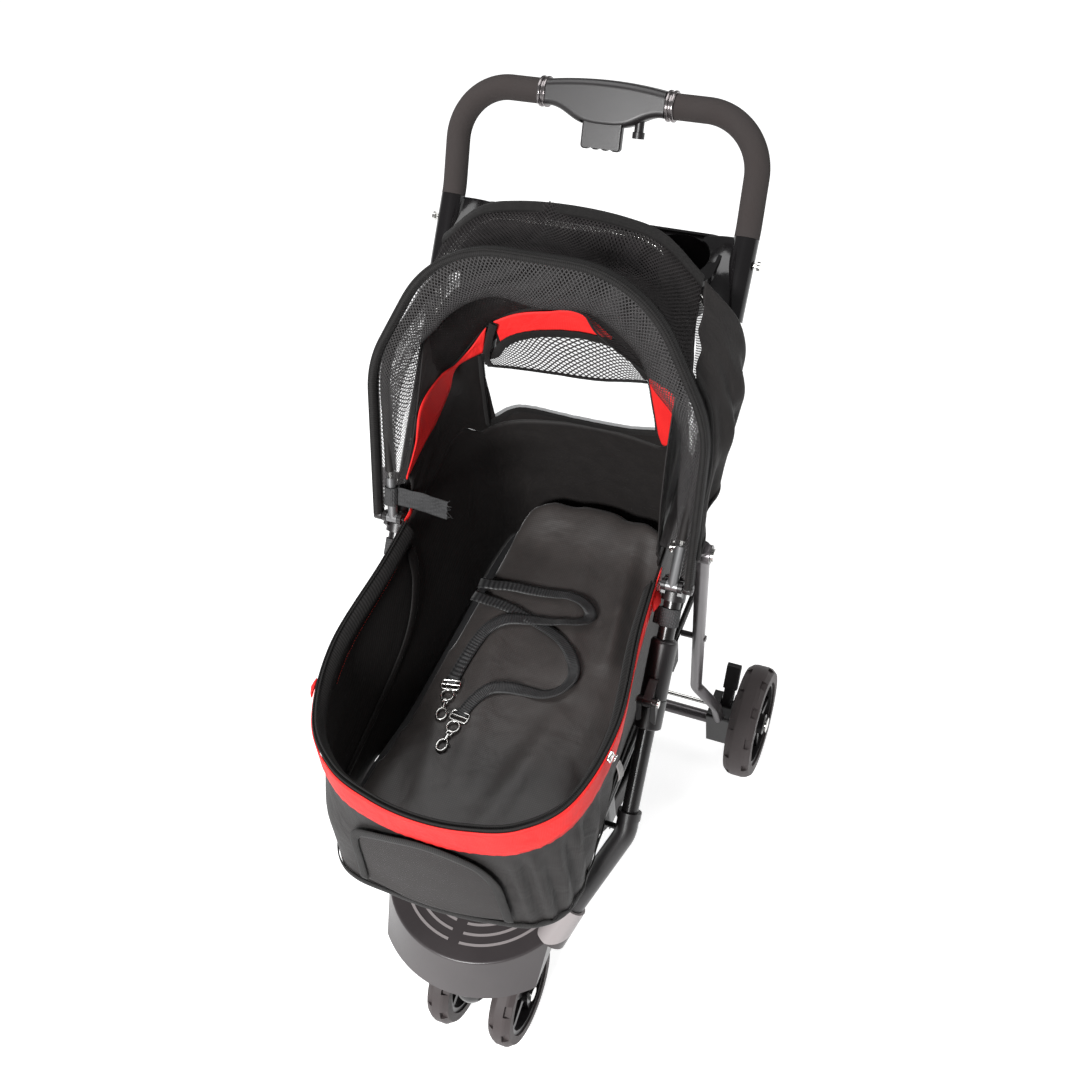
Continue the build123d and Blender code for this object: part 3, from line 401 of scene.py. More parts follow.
# Polypropylene webbing: tight ribs with a dull shine
WEBBING = ribbed("polypropylene_webbing_black", "#141415", "#464647", 0.0026, "X", Roughness=0.42,
                 Sheen_Weight=0.1)
# Grosgrain ribbon of the zipper pull, mid grey
GREY_RIBBON = ribbed("grosgrain_ribbon_grey", "#6f6d6c", "#b4b1ae", 0.002, "Y", Roughness=0.6)
# Sewing thread, red
RED_THREAD = ribbed("sewing_thread_red", "#a52a25", "#d9564c", 0.003, "X", Roughness=0.5)
# Hook tape: stubbly nylon, almost black
HOOK_TAPE = woven("hook_tape_nylon", "#161617", "#4a4a4b", 0.0022, 0.01, space="Object", relief=0.9,
                  Roughness=0.75)


def netting(name, colour, pitch, open_share, **sockets):
    """Knitted netting: diagonal threads with clear holes between them."""
    mat, shader = new_finish(name, colour, **sockets)
    where = add(mat, "TexCoord").outputs["UV"]
    turned = add(mat, "Mapping", {"Vector": where, "Rotation": (0, 0, radians(45))}).outputs[0]
    thread = join(mat, "MAXIMUM", stripes(mat, turned, pitch, "X"), stripes(mat, turned, pitch, "Y"))
    alpha = add(mat, "MapRange", {"Value": thread, "From Min": open_share - HOLE_EDGE,
                                  "From Max": open_share + HOLE_EDGE})
    mat.node_tree.links.new(alpha.outputs[0], shader.inputs["Alpha"])
    tint(mat, shader, mottle(mat, where, 0.02, 3.0), linear(colour), linear("#2f2c2c"))
    emboss(mat, shader, thread, 0.4, KNOT_DEPTH)
    return mat


# Polyester netting: holes of 1.2 mm, drawn with threads 4 mm apart to show
NETTING = netting("polyester_netting_black", "#171516", 0.004, 0.79, Roughness=0.6)
# The hood's heavier netting of the same yarn
HOOD_MESH = netting("polyester_mesh_black", "#121011", 0.0042, 0.70, Roughness=0.8, Specular_IOR_Level=0.25)
# Fine tricot mesh of the front pocket: almost closed
POCKET_MESH = netting("tricot_mesh_black", "#2b2827", 0.003, 0.35, Roughness=0.8)


def window_film():
    """Clear vinyl with a faint woven grid pressed in: the white ground shows through."""
    mat, shader = new_finish("clear_vinyl_film", "#eef0f1", Roughness=0.3, Alpha=0.34, IOR=1.45)
    grid = stripes(mat, add(mat, "TexCoord").outputs["UV"], 0.003, "DIAGONAL")
    emboss(mat, shader, grid, 0.2, GRID_DEPTH)
    return mat


WINDOW_FILM = window_film()


def moulded(name, dark, light, grain, depth, rough, **sockets):
    """Paint, plastic or rubber: a fine grain, and slow changes of shade and shine from handling."""
    mat, shader = new_finish(name, dark, Roughness=rough, **sockets)
    where = add(mat, "TexCoord").outputs["Object"]
    wash = mottle(mat, where, HANDLED, 4.0)
    tint(mat, shader, wash, linear(dark), linear(light))
    worn = add(mat, "MapRange", {"Value": wash, "To Min": rough * 0.8, "To Max": rough * 1.25})
    mat.node_tree.links.new(worn.outputs[0], shader.inputs["Roughness"])
    emboss(mat, shader, mottle(mat, where, grain, 3.0), depth, GRAIN_DEPTH)
    return mat


# Powder-coated steel tube: black with a soft long highlight and slight orange peel
BLACK_TUBE = moulded("powder_coat_black", "#121011", "#1d1b1b", 0.0016, 0.08, rough=0.26)
# Grey enamelled steel tube of the rear frame
GREY_TUBE = moulded("enamel_grey", "#585456", "#6a6668", 0.002, 0.06, rough=0.3, Metallic=0.5)
# Polypropylene, spark-textured mould: satin black
SATIN_PLASTIC = moulded("polypropylene_satin", "#151314", "#221f20", 0.0008, 0.25, rough=0.36)
# Polished ABS of the tray: black with crisp reflections
GLOSS_PLASTIC = moulded("abs_gloss", "#0f0e0f", "#191718", 0.004, 0.03, rough=0.16)
RIB_FOOT, RIB_TOP = 0.2752, 0.2755      # heights of the platform's deck and rib tops


def platform_plastic():
    """Polypropylene of the foot platform: dark grey, with the ribs rubbed lighter by feet."""
    mat = moulded("polypropylene_dark_grey", "#353132", "#474243", 0.001, 0.2, rough=0.34)
    shader = mat.node_tree.nodes["Principled BSDF"]
    plain = shader.inputs["Base Color"].links[0].from_socket
    apart = add(mat, "SeparateXYZ", {0: add(mat, "TexCoord").outputs["Object"]})
    rubbed = add(mat, "MapRange", {"Value": apart.outputs["Z"], "From Min": RIB_FOOT, "From Max": RIB_TOP,
                                   "To Max": 0.8})
    tint(mat, shader, rubbed.outputs[0], plain, linear("#a39c9c"))
    return mat


PLATFORM_PLASTIC = platform_plastic()
# Tinted chrome of the grip collars
COLLAR_CHROME = moulded("tinted_chrome", "#6b6667", "#858080", 0.003, 0.04, rough=0.2, Metallic=0.85)
# Closed-cell foam of the grips: dull, pores of 1 mm
GRIP_FOAM = moulded("eva_foam_grip", "#2b2625", "#393332", 0.0011, 0.9, rough=0.92)
# Foamed rubber tyres: dull brown-grey
TYRE_RUBBER = moulded("foam_rubber_tyre", "#332d2d", "#473f3f", 0.0014, 0.5, rough=0.62)
# Nickel-plated steel wire and fittings
BRIGHT_STEEL = moulded("nickel_plated_steel", "#c9c8c5", "#e2e1de", 0.003, 0.05, rough=0.2, Metallic=1.0)
# Zinc casting, tumbled: duller grey metal of the bow sockets
SOCKET_METAL = moulded("zinc_casting", "#6d6d6e", "#868687", 0.0012, 0.25, rough=0.38, Metallic=0.8)
# Floor board under the pad, polypropylene sheet
FLOOR_PANEL = moulded("polypropylene_sheet", "#232324", "#2f2f30", 0.002, 0.2, rough=0.6)

# The frame's own slot for each finish of the sewn pieces
SLOT = {BLACK_CLOTH: "cabin_cloth", RED_CLOTH: "cabin_cloth", RED_THREAD: "cabin_cloth",
        FLOOR_PANEL: "cabin_cloth", TAPE: "zipper_tape", WEBBING: "webbing", GREY_RIBBON: "webbing",
        HOOK_TAPE: "webbing", NETTING: "netting", HOOD_MESH: "netting", POCKET_MESH: "netting",
        WINDOW_FILM: "window_film", BRIGHT_STEEL: "bright_steel", SATIN_PLASTIC: "satin_plastic"}
NODE_FINISH = {
    BLACK_TUBE: ["lower_tubes", "push_tube", "floor_frame", "caster_fork"],
    GREY_TUBE: ["rear_leg_right", "rear_leg_left", "rear_cross_tube"],
    BRIGHT_STEEL: ["fold_pins", "tray_screws", "leg_pivot_bolts", "canopy_bow", "rear_bow", "rear_axles",
                   "brake_rod", "front_axle"],
    SOCKET_METAL: ["bow_sockets"],
    SATIN_PLASTIC: ["fold_blocks", "corner_fittings", "hinge_cores", "handle_housing", "canopy_clamps",
                    "lock_sleeve_right", "lock_sleeve_left", "fold_trigger", "lock_button",
                    "wheel_brackets", "brake_pedals", "rear_rim_right", "rear_rim_left",
                    "front_rim_right", "front_rim_left"],
    GLOSS_PLASTIC: ["tray"],
    PLATFORM_PLASTIC: ["front_platform"],
    COLLAR_CHROME: ["grip_collars"],
    GRIP_FOAM: ["foam_grip_right", "foam_grip_left"],
    TYRE_RUBBER: ["rear_tyre_right", "rear_tyre_left", "front_tyre_right", "front_tyre_left"],
    FLOOR_PANEL: ["floor_board"],
}
for finish, names in NODE_FINISH.items():
    for node in names:
        NODES[node].data.materials.clear()
        NODES[node].data.materials.append(finish)


# Helpers that make pieces, lines and sheets

def thicken(made, thickness):
    wall = made.modifiers.new("thickness", "SOLIDIFY")
    wall.thickness, wall.offset, wall.use_even_offset = thickness, 0.0, False


def piece(name, bm, finishes, body, replaced=(), thick=0.0, smooth=True):
    """Makes one piece of the object from a bmesh, riding on a body, in the slot of its first finish."""
    mesh = bpy.data.meshes.new(name)
    bm.to_mesh(mesh)
    bm.free()
    finishes = finishes if isinstance(finishes, list) else [finishes]
    for finish in finishes:
        mesh.materials.append(finish)
    for face in mesh.polygons:
        face.use_smooth = smooth
    made = bpy.data.objects.new(name, mesh)
    scene.collection.objects.link(made)
    if body:
        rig.ride(made, body)
    if replaced:
        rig.replaces(made, *replaced)
    if finishes[0] in SLOT:
        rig.slot(made, SLOT[finishes[0]])
    if thick:
        thicken(made, thick)
    return made


def gather(parts):
    """One bmesh from several."""
    whole = bmesh.new()
    for part in parts:
        mesh = bpy.data.meshes.new("part")
        part.to_mesh(mesh)
        part.free()
        whole.from_mesh(mesh)
        bpy.data.meshes.remove(mesh)
    return whole


def cloth(columns, rows, place, size, closed=False):
    """Sheet of cells: place(u, v) gives each point, with u and v from 0 to 1. Its UV map is in metres."""
    bm = bmesh.new()
    flat = bm.loops.layers.uv.new("cloth")
    bmesh.ops.create_grid(bm, x_segments=columns, y_segments=rows, size=0.5)
    for face in bm.faces:
        for loop in face.loops:
            loop[flat].uv = ((loop.vert.co.x + 0.5) * size[0], (loop.vert.co.y + 0.5) * size[1])
    for vert in bm.verts:
        vert.co = place(vert.co.x + 0.5, vert.co.y + 0.5)
    if closed:
        bmesh.ops.remove_doubles(bm, verts=bm.verts, dist=1e-5)
    return bm


def curve_mesh(points, kind, closed, steps, **settings):
    """Mesh of a curve through a route's control points."""
    curve = bpy.data.curves.new("line", "CURVE")
    curve.dimensions = "3D"
    for name, value in settings.items():
        setattr(curve, name, value)
    spline = curve.splines.new(kind)
    spline.points.add(len(points) - 1)
    for knot, point in zip(spline.points, points):
        knot.co = (*point, 1)
    if kind == "NURBS":
        spline.order_u, spline.use_endpoint_u = 3, not closed
    spline.use_cyclic_u, spline.resolution_u = closed, steps
    holder = bpy.data.objects.new("line", curve)
    mesh = bpy.data.meshes.new_from_object(holder)
    bpy.data.objects.remove(holder)
    bpy.data.curves.remove(curve)
    return mesh


def read_line(points, steps):
    """Points along a smooth NURBS line."""
    mesh = curve_mesh(points, "NURBS", False, steps)
    line = [v.co.copy() for v in mesh.vertices]
    bpy.data.meshes.remove(mesh)
    return line


def bent_wire(points, radius, closed=False, kind="NURBS", steps=6, sides=3):
    """Round wire, piping or thread along a line, as a bmesh."""
    mesh = curve_mesh(points, kind, closed, steps, bevel_depth=radius, bevel_resolution=sides,
                      use_fill_caps=not closed)
    bm = bmesh.new()
    bm.from_mesh(mesh)
    bpy.data.meshes.remove(mesh)
    bmesh.ops.recalc_face_normals(bm, faces=bm.faces)
    return bm


def run(line):
    """Length of a line of points."""
    return sum((b - a).length for a, b in zip(line, line[1:]))


def curve_at(a, b, c, d, f):
    """Point at f between b and c on a smooth line through four points."""
    square, cube = 2 * a - 5 * b + 4 * c - d, 3 * b - 3 * c + d - a
    return 0.5 * (2 * b + (c - a) * f + square * f * f + cube * f ** 3)


def wobble(x, y, z):
    """Smooth noise, about -1 to 1."""
    return noise.noise(Vector((x, y, z)))


def through(points, t):
    """Point at t, 0 to 1, on a smooth open line through the given points."""
    s = max(0.0, min(1.0, t)) * (len(points) - 1)
    k = min(int(s), len(points) - 2)
    f = s - k
    b, c = Vector(points[k]), Vector(points[k + 1])
    a = Vector(points[k - 1]) if k else 2 * b - c
    d = Vector(points[k + 2]) if k + 2 < len(points) else 2 * c - b
    return curve_at(a, b, c, d, f)


def ease(low, high, value):
    """Smooth step from 0 at low to 1 at high."""
    t = max(0.0, min(1.0, (value - low) / (high - low)))
    return t * t * (3 - 2 * t)


def mirrored(points):
    """The points, and then their mirror image back from the last."""
    return points + [Vector((-p.x, p.y, p.z)) for p in reversed(points)]


def spaced(line, count):
    """The line again with evenly spaced points."""
    gone = [0.0]
    for a, b in zip(line, line[1:]):
        gone.append(gone[-1] + (b - a).length)
    out, k = [], 0
    for j in range(count + 1):
        want = gone[-1] * j / count
        while k < len(line) - 2 and gone[k + 1] < want:
            k += 1
        f = (want - gone[k]) / max(gone[k + 1] - gone[k], 1e-9)
        out.append(line[k].lerp(line[k + 1], f))
    return out


def on_line(line, u):
    """Point at u, 0 to 1, on straight lines between the given points."""
    s = max(0.0, min(1.0, u)) * (len(line) - 1)
    k = min(int(s), len(line) - 2)
    return line[k].lerp(line[k + 1], s - k)


def sheathed(line, wide, deep, face, swell=0.0):
    """Flat-oval cover round a rod: wide along face, deep across it."""
    last = len(line) - 1

    def place(u, v):
        k = round(u * last)
        way = (line[min(k + 1, last)] - line[max(k - 1, 0)]).normalized()
        side = way.cross(face).normalized()
        a = 2 * pi * v
        groove = 1 - 0.16 * exp(-(sin(a) / 0.22) ** 2) - swell * wobble(u * 40, v * 2, 3)
        return line[k] + face * (wide / 2 * sin(a)) + side * (deep / 2 * cos(a)) * groove
    return cloth(last, 20, place, (1.0, 0.05), closed=True)


def between(table, x):
    """Height at x on straight lines between a table's points; None beyond the last."""
    for (xa, za), (xb, zb) in zip(table, table[1:]):
        if x <= xb:
            return za + (zb - za) * max(0.0, x - xa) / (xb - xa)
    return None


# Cabin: a cloth tub from the floor up to a sloping rim

# Half outlines in millimetres from front to back: distance along the stroller, and half width
BASE = [(-313, 0), (-309, 58), (-297, 110), (-263, 142), (-205, 146), (-110, 136), (40, 132.5),
        (150, 131), (206, 121), (235, 95), (247, 50), (250, 0)]
CROWN = [(-303, 0), (-297, 50), (-277, 105), (-232, 153), (-143, 176), (-31, 159), (60, 152),
         (140, 148), (184, 136), (208, 106), (221, 54), (225, 0)]
HOOD = [(-304, 0), (-298, 54), (-279, 110), (-235, 154), (-150, 168), (-40, 151), (60, 148),
        (130, 145), (166, 133), (188, 103), (200, 52), (203, 0)]
FLOOR_Z, CROWN_Z, HOOD_Z = 0.4003, 0.665, 0.880
SKIRT_LOW, SKIRT_BACK = 0.348, -0.184    # the front panel hangs below the floor
SKIRT_RUN, SKIRT_TILT = 0.106, 0.022     # length over which it drops, and how much less on the right
RIM_Y, RIM_Z = 0.011, 0.617              # the rim at the bow's foot
RIM_SLOPE, RIM_TOP = 0.2057, 0.640       # its rise to the back, and where that ends
WINDOW_DIP = 0.034      # how far the rim dips under the window
ROUND = 1.52            # length of cloth round the tub
NUDGE = 0.002           # step of a turn, to find which way is outwards


def ring(half, t):
    """Plan point at t on the closed outline: 0 is the front, a quarter the right, a half the back."""
    count = 2 * (len(half) - 1)
    s = (t % 1.0) * count
    k, f = int(s), s - int(s)
    corner = []
    for j in range(k - 1, k + 3):
        j %= count
        y, w = half[j] if j < len(half) else half[count - j]
        corner.append(Vector((w if j < len(half) else -w, y)) / 1000)
    return curve_at(*corner, f)


def stand_off(plan, t, z, out):
    """Point at turn t of an outline at a height, moved outwards."""
    here, way = plan(t), (plan(t + NUDGE) - plan(t - NUDGE)).normalized()
    return Vector((here.x + way.y * out, here.y - way.x * out, z))


def cabin_at(t, z, out=0.0):
    """Point on the tub wall, moved outwards."""
    k = (z - FLOOR_Z) / (CROWN_Z - FLOOR_Z)
    return stand_off(lambda turn: ring(BASE, turn).lerp(ring(CROWN, turn), k), t, z, out)


def cabin_rim(t):
    """Height of the tub's upper edge: it dips at the back, under the window."""
    turn = t % 1.0
    plain = min(RIM_Z + RIM_SLOPE * (ring(CROWN, t).y - RIM_Y), RIM_TOP)
    return plain - WINDOW_DIP * ease(0.39, 0.43, turn) * (1 - ease(0.64, 0.68, turn))


def cabin_hem(t):
    """Height of the lower edge: it drops at the front, a little more on the left."""
    turn = t - round(t)
    drop = ease(0.0, 1.0, (SKIRT_BACK - ring(BASE, t).y) / SKIRT_RUN)
    return FLOOR_Z + (SKIRT_LOW + SKIRT_TILT * ease(-0.08, 0.10, turn) - FLOOR_Z) * drop


def wall_slack(t, v):
    """How far the slack cloth stands off: long folds at the right front, soft dents elsewhere."""
    turn = t - round(t)
    p = cabin_at(t, 0.45)
    hold = sin(pi * max(0.0, min(1.0, v))) ** 0.6
    dent = 0.0035 * wobble(p.x * 11, p.y * 11, v * 2.2)
    near = ease(0.06, 0.10, turn) * (1 - ease(0.17, 0.24, turn))
    folds = 0.0085 * near * sin(turn * 300 + 4.5 * v) * (0.55 + 0.45 * wobble(turn * 30, v * 1.5, 2))
    bulge = 0.015 * exp(-((turn + 0.125) / 0.04) ** 2) * (1 - ease(0.35, 0.85, v))
    return hold * (dent + folds * (1 - ease(0.62, 0.82, v))) + bulge


def on_wall(t, z, out=0.0):
    """Point on the tub's slack cloth, moved outwards."""
    low = cabin_hem(t)
    return cabin_at(t, z, out + wall_slack(t, (z - low) / (cabin_rim(t) - low)))


def tub_disc(segments, z, out):
    """Flat panel with the tub's outline at a height."""
    bm = bmesh.new()
    bmesh.ops.create_circle(bm, cap_ends=True, segments=segments, radius=1)
    for vert in bm.verts:
        vert.co = cabin_at(atan2(vert.co.x, -vert.co.y) / (2 * pi), z, out)
    return bm


def sewn_strip(path, width, out, columns=90):
    """Tape sewn flat on the tub along a path of turns and heights."""
    def place(u, v):
        way = through(path, u + 0.008) - through(path, u - 0.008)
        way = Vector((way.x * ROUND, way.y)).normalized()
        off = (v - 0.5) * width
        here = through(path, u)
        proud = out + copysign(0.0008, out) * sin(pi * v)
        return on_wall(here.x - way.y * off / ROUND, here.y + way.x * off, proud)
    long = run([on_wall(*through(path, k / 40)) for k in range(41)])
    return cloth(columns, 4, place, (long, width))


def cabin_shell():
    def place(u, v):
        low, high = cabin_hem(u), cabin_rim(u)
        return on_wall(u, low + v * (high - low), -0.0012)
    wall = piece("cabin_wall", cloth(220, 28, place, (ROUND, 0.25), closed=True), BLACK_CLOTH,
                 "front_frame", ["cabin_shell"], thick=0.002)

    bm = tub_disc(110, FLOOR_Z + 0.001, -0.003)
    bm.loops.layers.uv.new("cloth")
    floor = piece("cabin_floor", bm, FLOOR_PANEL, "front_frame", smooth=False, thick=0.0018)
    return [wall, floor]


CABIN = cabin_shell()


# The opening's zipper runs from bow foot to bow foot round the front
ZIP_T = 0.2486
BAND_LOW, BAND_HIGH, RUFFLE = -0.036, 0.003, 0.0009     # red band: its edges from the rim, and its waves


def red_band():
    """Band sewn round the tub under the zipper, ruffled along its lower edge."""
    end = ZIP_T + 0.01

    def place(u, v):
        t = end * (2 * u - 1)
        wave = RUFFLE * (1 - v) * (wobble(t * 60, 0.3, 1) + 0.6 * sin(t * 640))
        z = cabin_rim(t) + BAND_LOW + (BAND_HIGH - BAND_LOW) * v + wave
        return on_wall(t, z, 0.0022 + 0.4 * abs(wave))
    bm = cloth(200, 6, place, (2 * ROUND * end, BAND_HIGH - BAND_LOW))
    return piece("red_band", bm, RED_CLOTH, "front_frame", thick=0.0012)


def rim_zipper():
    def place(u, v):
        """Tape folded over the rim: up the outside, over the top and down inside."""
        t = ZIP_T * (2 * u - 1)
        a = pi * v
        out = -0.0030 + 0.0036 * cos(a) - 0.004 * v * v
        lift = 0.002 + 0.0045 * sin(a) ** 0.7 - 0.012 * v * v + 0.0010 * wobble(t * 26, v, 5)
        return cabin_at(t, cabin_rim(t) + lift, out)
    tape = piece("rim_zipper_tape", cloth(320, 10, place, (0.80, 0.026)), TAPE, "front_frame",
                 ["rim_zipper"], thick=0.001)

    lines = []
    for out, lift in ((0.0004, 0.0060), (-0.0034, 0.0076)):
        turns = [ZIP_T * (k / 80 - 1) for k in range(161)]
        route = [cabin_at(t, cabin_rim(t) + lift, out) for t in turns]
        lines.append(bent_wire(route, 0.0011, kind="POLY", sides=1))
    coil = piece("rim_zipper_coil", gather(lines), TAPE, "front_frame")
    return [tape, coil]


CABIN += [red_band()] + rim_zipper()
BINDING = 0.001         # thickness of a sewn binding
SEAM_T, SEAM_Z = -0.2345, 0.591         # where the red stitching starts


def tub_trim():
    """Bound hem, mesh pocket on the front panel, and red-stitched pocket inside the left wall."""
    hem = [(k / 80 - 0.5, cabin_hem(k / 80 - 0.5) + 0.004) for k in range(81)]
    hem_tape = sewn_strip(hem, 0.009, 0.0016, 240)
    trims = [piece("hem_binding", hem_tape, TAPE, "front_frame", thick=BINDING)]

    top = [(-0.072, 0.466), (-0.049, 0.489), (-0.011, 0.507), (0.021, 0.508), (0.048, 0.493),
           (0.061, 0.462)]
    low = [(-0.076, 0.366), (-0.03, 0.362), (0.015, 0.370), (0.066, 0.383)]

    def place(u, v):
        spot = through(low, u).lerp(through(top, u), v)
        puff = 0.005 * sin(pi * u) ** 0.8 * ease(0.0, 0.6, v) * (1 - 0.5 * ease(0.7, 1.0, v))
        return on_wall(spot.x, spot.y, 0.0022 + puff)
    pocket = cloth(70, 30, place, (0.25, 0.13))
    trims.append(piece("front_pocket_mesh", pocket, POCKET_MESH, "front_frame", ["front_pocket"],
                       thick=0.0008))
    edge = [(-0.076, 0.370), (-0.075, 0.420)] + top + [(0.0645, 0.425), (0.0665, 0.386)]
    bound = sewn_strip(edge, 0.013, 0.0052, 160)
    trims.append(piece("pocket_binding", bound, TAPE, "front_frame", thick=BINDING))

    mouth = [(-0.247, 0.590), (-0.246, 0.545), (-0.234, 0.495), (-0.200, 0.455), (-0.165, 0.430)]
    inner = sewn_strip(mouth, 0.010, -0.0042)
    trims.append(piece("inner_pocket_binding", inner, BLACK_CLOTH, "front_frame", thick=BINDING))
    stitches = []
    for k in range(46):
        t = SEAM_T + 0.0013 * k
        a, b = (on_wall(t + d, SEAM_Z - 0.040 * (t - SEAM_T) / 0.059, -0.0040) for d in (0, 0.0009))
        stitches.append(bent_wire([a, b], 0.00055, kind="POLY", sides=1))
    trims.append(piece("inner_stitching", gather(stitches), RED_THREAD, "front_frame"))
    return trims


TRIMS = tub_trim()
SLIDER_T = 0.169        # where the slider stands on the rim
PULL_LONG, PULL_WIDE = 0.038, 0.008     # its ribbon


def zipper_pull():
    """Slider on the right of the rim with a grey ribbon through its bail, and two red end tabs."""
    t = SLIDER_T
    z = cabin_rim(t)
    spot = cabin_at(t, z, 0.0052)
    outward = (cabin_at(t, z, 0.01) - cabin_at(t, z)).normalized()
    before, after = (cabin_at(t + d, cabin_rim(t + d)) for d in (-0.004, 0.004))
    along = (after - before).normalized()
    over = along.cross(outward)
    turn = Matrix((along, outward, over)).transposed().to_4x4()
    slider = bmesh.new()
    block = Matrix.Translation(spot) @ turn @ Matrix.Diagonal((0.011, 0.004, 0.009, 1))
    bmesh.ops.create_cube(slider, size=1, matrix=block)
    bmesh.ops.bevel(slider, geom=slider.edges, offset=0.0012, segments=3, profile=0.5, affect="EDGES",
                    material=-1)
    half = [(0.0035, 0.003, 0.002), (0.0035, 0.006, -0.003), (0.002, 0.0075, -0.0075)]
    wire = mirrored([Vector(q) for q in half])
    bail = bent_wire([spot + turn.to_3x3() @ q for q in wire], 0.0009)
    metal = piece("zipper_slider", gather([slider, bail]), BRIGHT_STEEL, "front_frame", ["zipper_pull"])

    def hang(u, v):
        swing = 0.0085 + 0.003 * sin(2.4 * u) - 0.004 * u
        out = outward * (swing + 0.002 * (v - 0.5) * u)
        side = along * ((v - 0.5) * PULL_WIDE + 0.004 * u)
        return spot + out - Vector((0, 0, 0.006 + PULL_LONG * u)) + side
    strap = piece("zipper_ribbon", cloth(20, 4, hang, (PULL_LONG, PULL_WIDE)), GREY_RIBBON, "front_frame",
                  thick=0.001)

    tabs = []
    for t, high in ((-0.160, 0.0), (0.2470, -0.012)):
        def loop(u, v):
            a = pi * 1.7 * u
            q = cabin_at(t + (v - 0.5) * 0.006, cabin_rim(t) + high, 0.0030)
            out = (q - cabin_at(t, cabin_rim(t) + high, 0)).normalized()
            return q + out * 0.007 * sin(a / 1.7) + Vector((0, 0, 0.005 * cos(a)))
        tabs.append(cloth(16, 4, loop, (0.024, 0.009)))
    ends = piece("zipper_end_tabs", gather(tabs), RED_CLOTH, "front_frame", thick=0.001)
    return [metal, strap, ends]


PULL = zipper_pull()


# Storage basket under the floor

BASKET_Z, BASKET_TALL, BASKET_Y = 0.246, 0.098, -0.006      # its lowest height, depth and middle
HANGER_WIDE, HANGER_LONG = 0.020, 0.078


def basket():
    """Cloth bag that sags between four straps from the floor frame."""
    def outline(a, z):
        k = (z - BASKET_Z) / BASKET_TALL
        half_w, half_l = 0.122 + 0.014 * k, 0.138 + 0.014 * k
        c, s = cos(a), sin(a)
        r = (abs(c) ** 5 + abs(s) ** 5) ** -0.2
        return half_w * r * c, half_l * r * s + BASKET_Y

    def wall(u, v):
        a = 2 * pi * u
        low = BASKET_Z + 0.001
        high = BASKET_Z + BASKET_TALL - 0.010 * (0.5 - 0.5 * cos(4 * a)) * ease(0.5, 1.0, v)
        z = low + (high - low) * v
        x, y = outline(a, z)
        slack = (0.004 * wobble(x * 16, y * 16, z * 9) - 0.006 * sin(pi * v)) / 0.14
        tuck = 1 - 0.05 * (1 - ease(0.0, 0.12, v))
        grow = (1 + slack) * tuck
        return Vector((x * grow, (y - BASKET_Y) * grow + BASKET_Y, z))
    side = piece("basket_wall", cloth(140, 22, wall, (1.06, 0.1), closed=True), BLACK_CLOTH, "front_frame",
                 ["basket"], thick=0.0014)

    def base(u, v):
        rim = wall(u, 0.0)
        p = Vector((0, BASKET_Y, BASKET_Z)).lerp(rim, v)
        p.z = rim.z - 0.002 * (1 - v) * (1 + wobble(p.x * 20, p.y * 20, 1))
        return p
    floor = piece("basket_base", cloth(140, 10, base, (1.0, 0.14), closed=True), BLACK_CLOTH, "front_frame")
    hem = [wall(k / 120, 1.0) for k in range(121)]
    edge = piece("basket_edge", sheathed(hem, 0.008, 0.004, Vector((0, 0, 1))), TAPE, "front_frame")
    straps = []
    for sx in (-1, 1):
        for y in (-0.128, 0.112):
            def hang(u, v):
                x = 0.1334 + 0.0006 * sin(pi * v)
                return Vector((sx * x, y + (u - 0.5) * HANGER_WIDE, 0.318 + HANGER_LONG * v))
            straps.append(cloth(4, 20, hang, (HANGER_WIDE, HANGER_LONG)))
    hung = piece("basket_straps", gather(straps), WEBBING, "front_frame", thick=0.0014)
    return [side, floor, edge, hung]


BASKET = basket()


# Floor pad

PAD_Z, PAD_THICK, PAD_CELL = 0.4072, 0.019, 0.006    # underside, thickness, and size of its mesh cells
PAD_FLAT, PAD_FREE = 0.415, 0.428       # creases start above the first height and are whole at the second
PAD_LEVEL = 0.43        # about the height of its top
PUFF = 0.006            # furthest that the stuffing may push


def settle(made):
    """Makes what a piece's modifiers show its mesh."""
    graph = bpy.context.evaluated_depsgraph_get()
    shown = bpy.data.meshes.new_from_object(made.evaluated_get(graph))
    made.modifiers.clear()
    made.data = shown


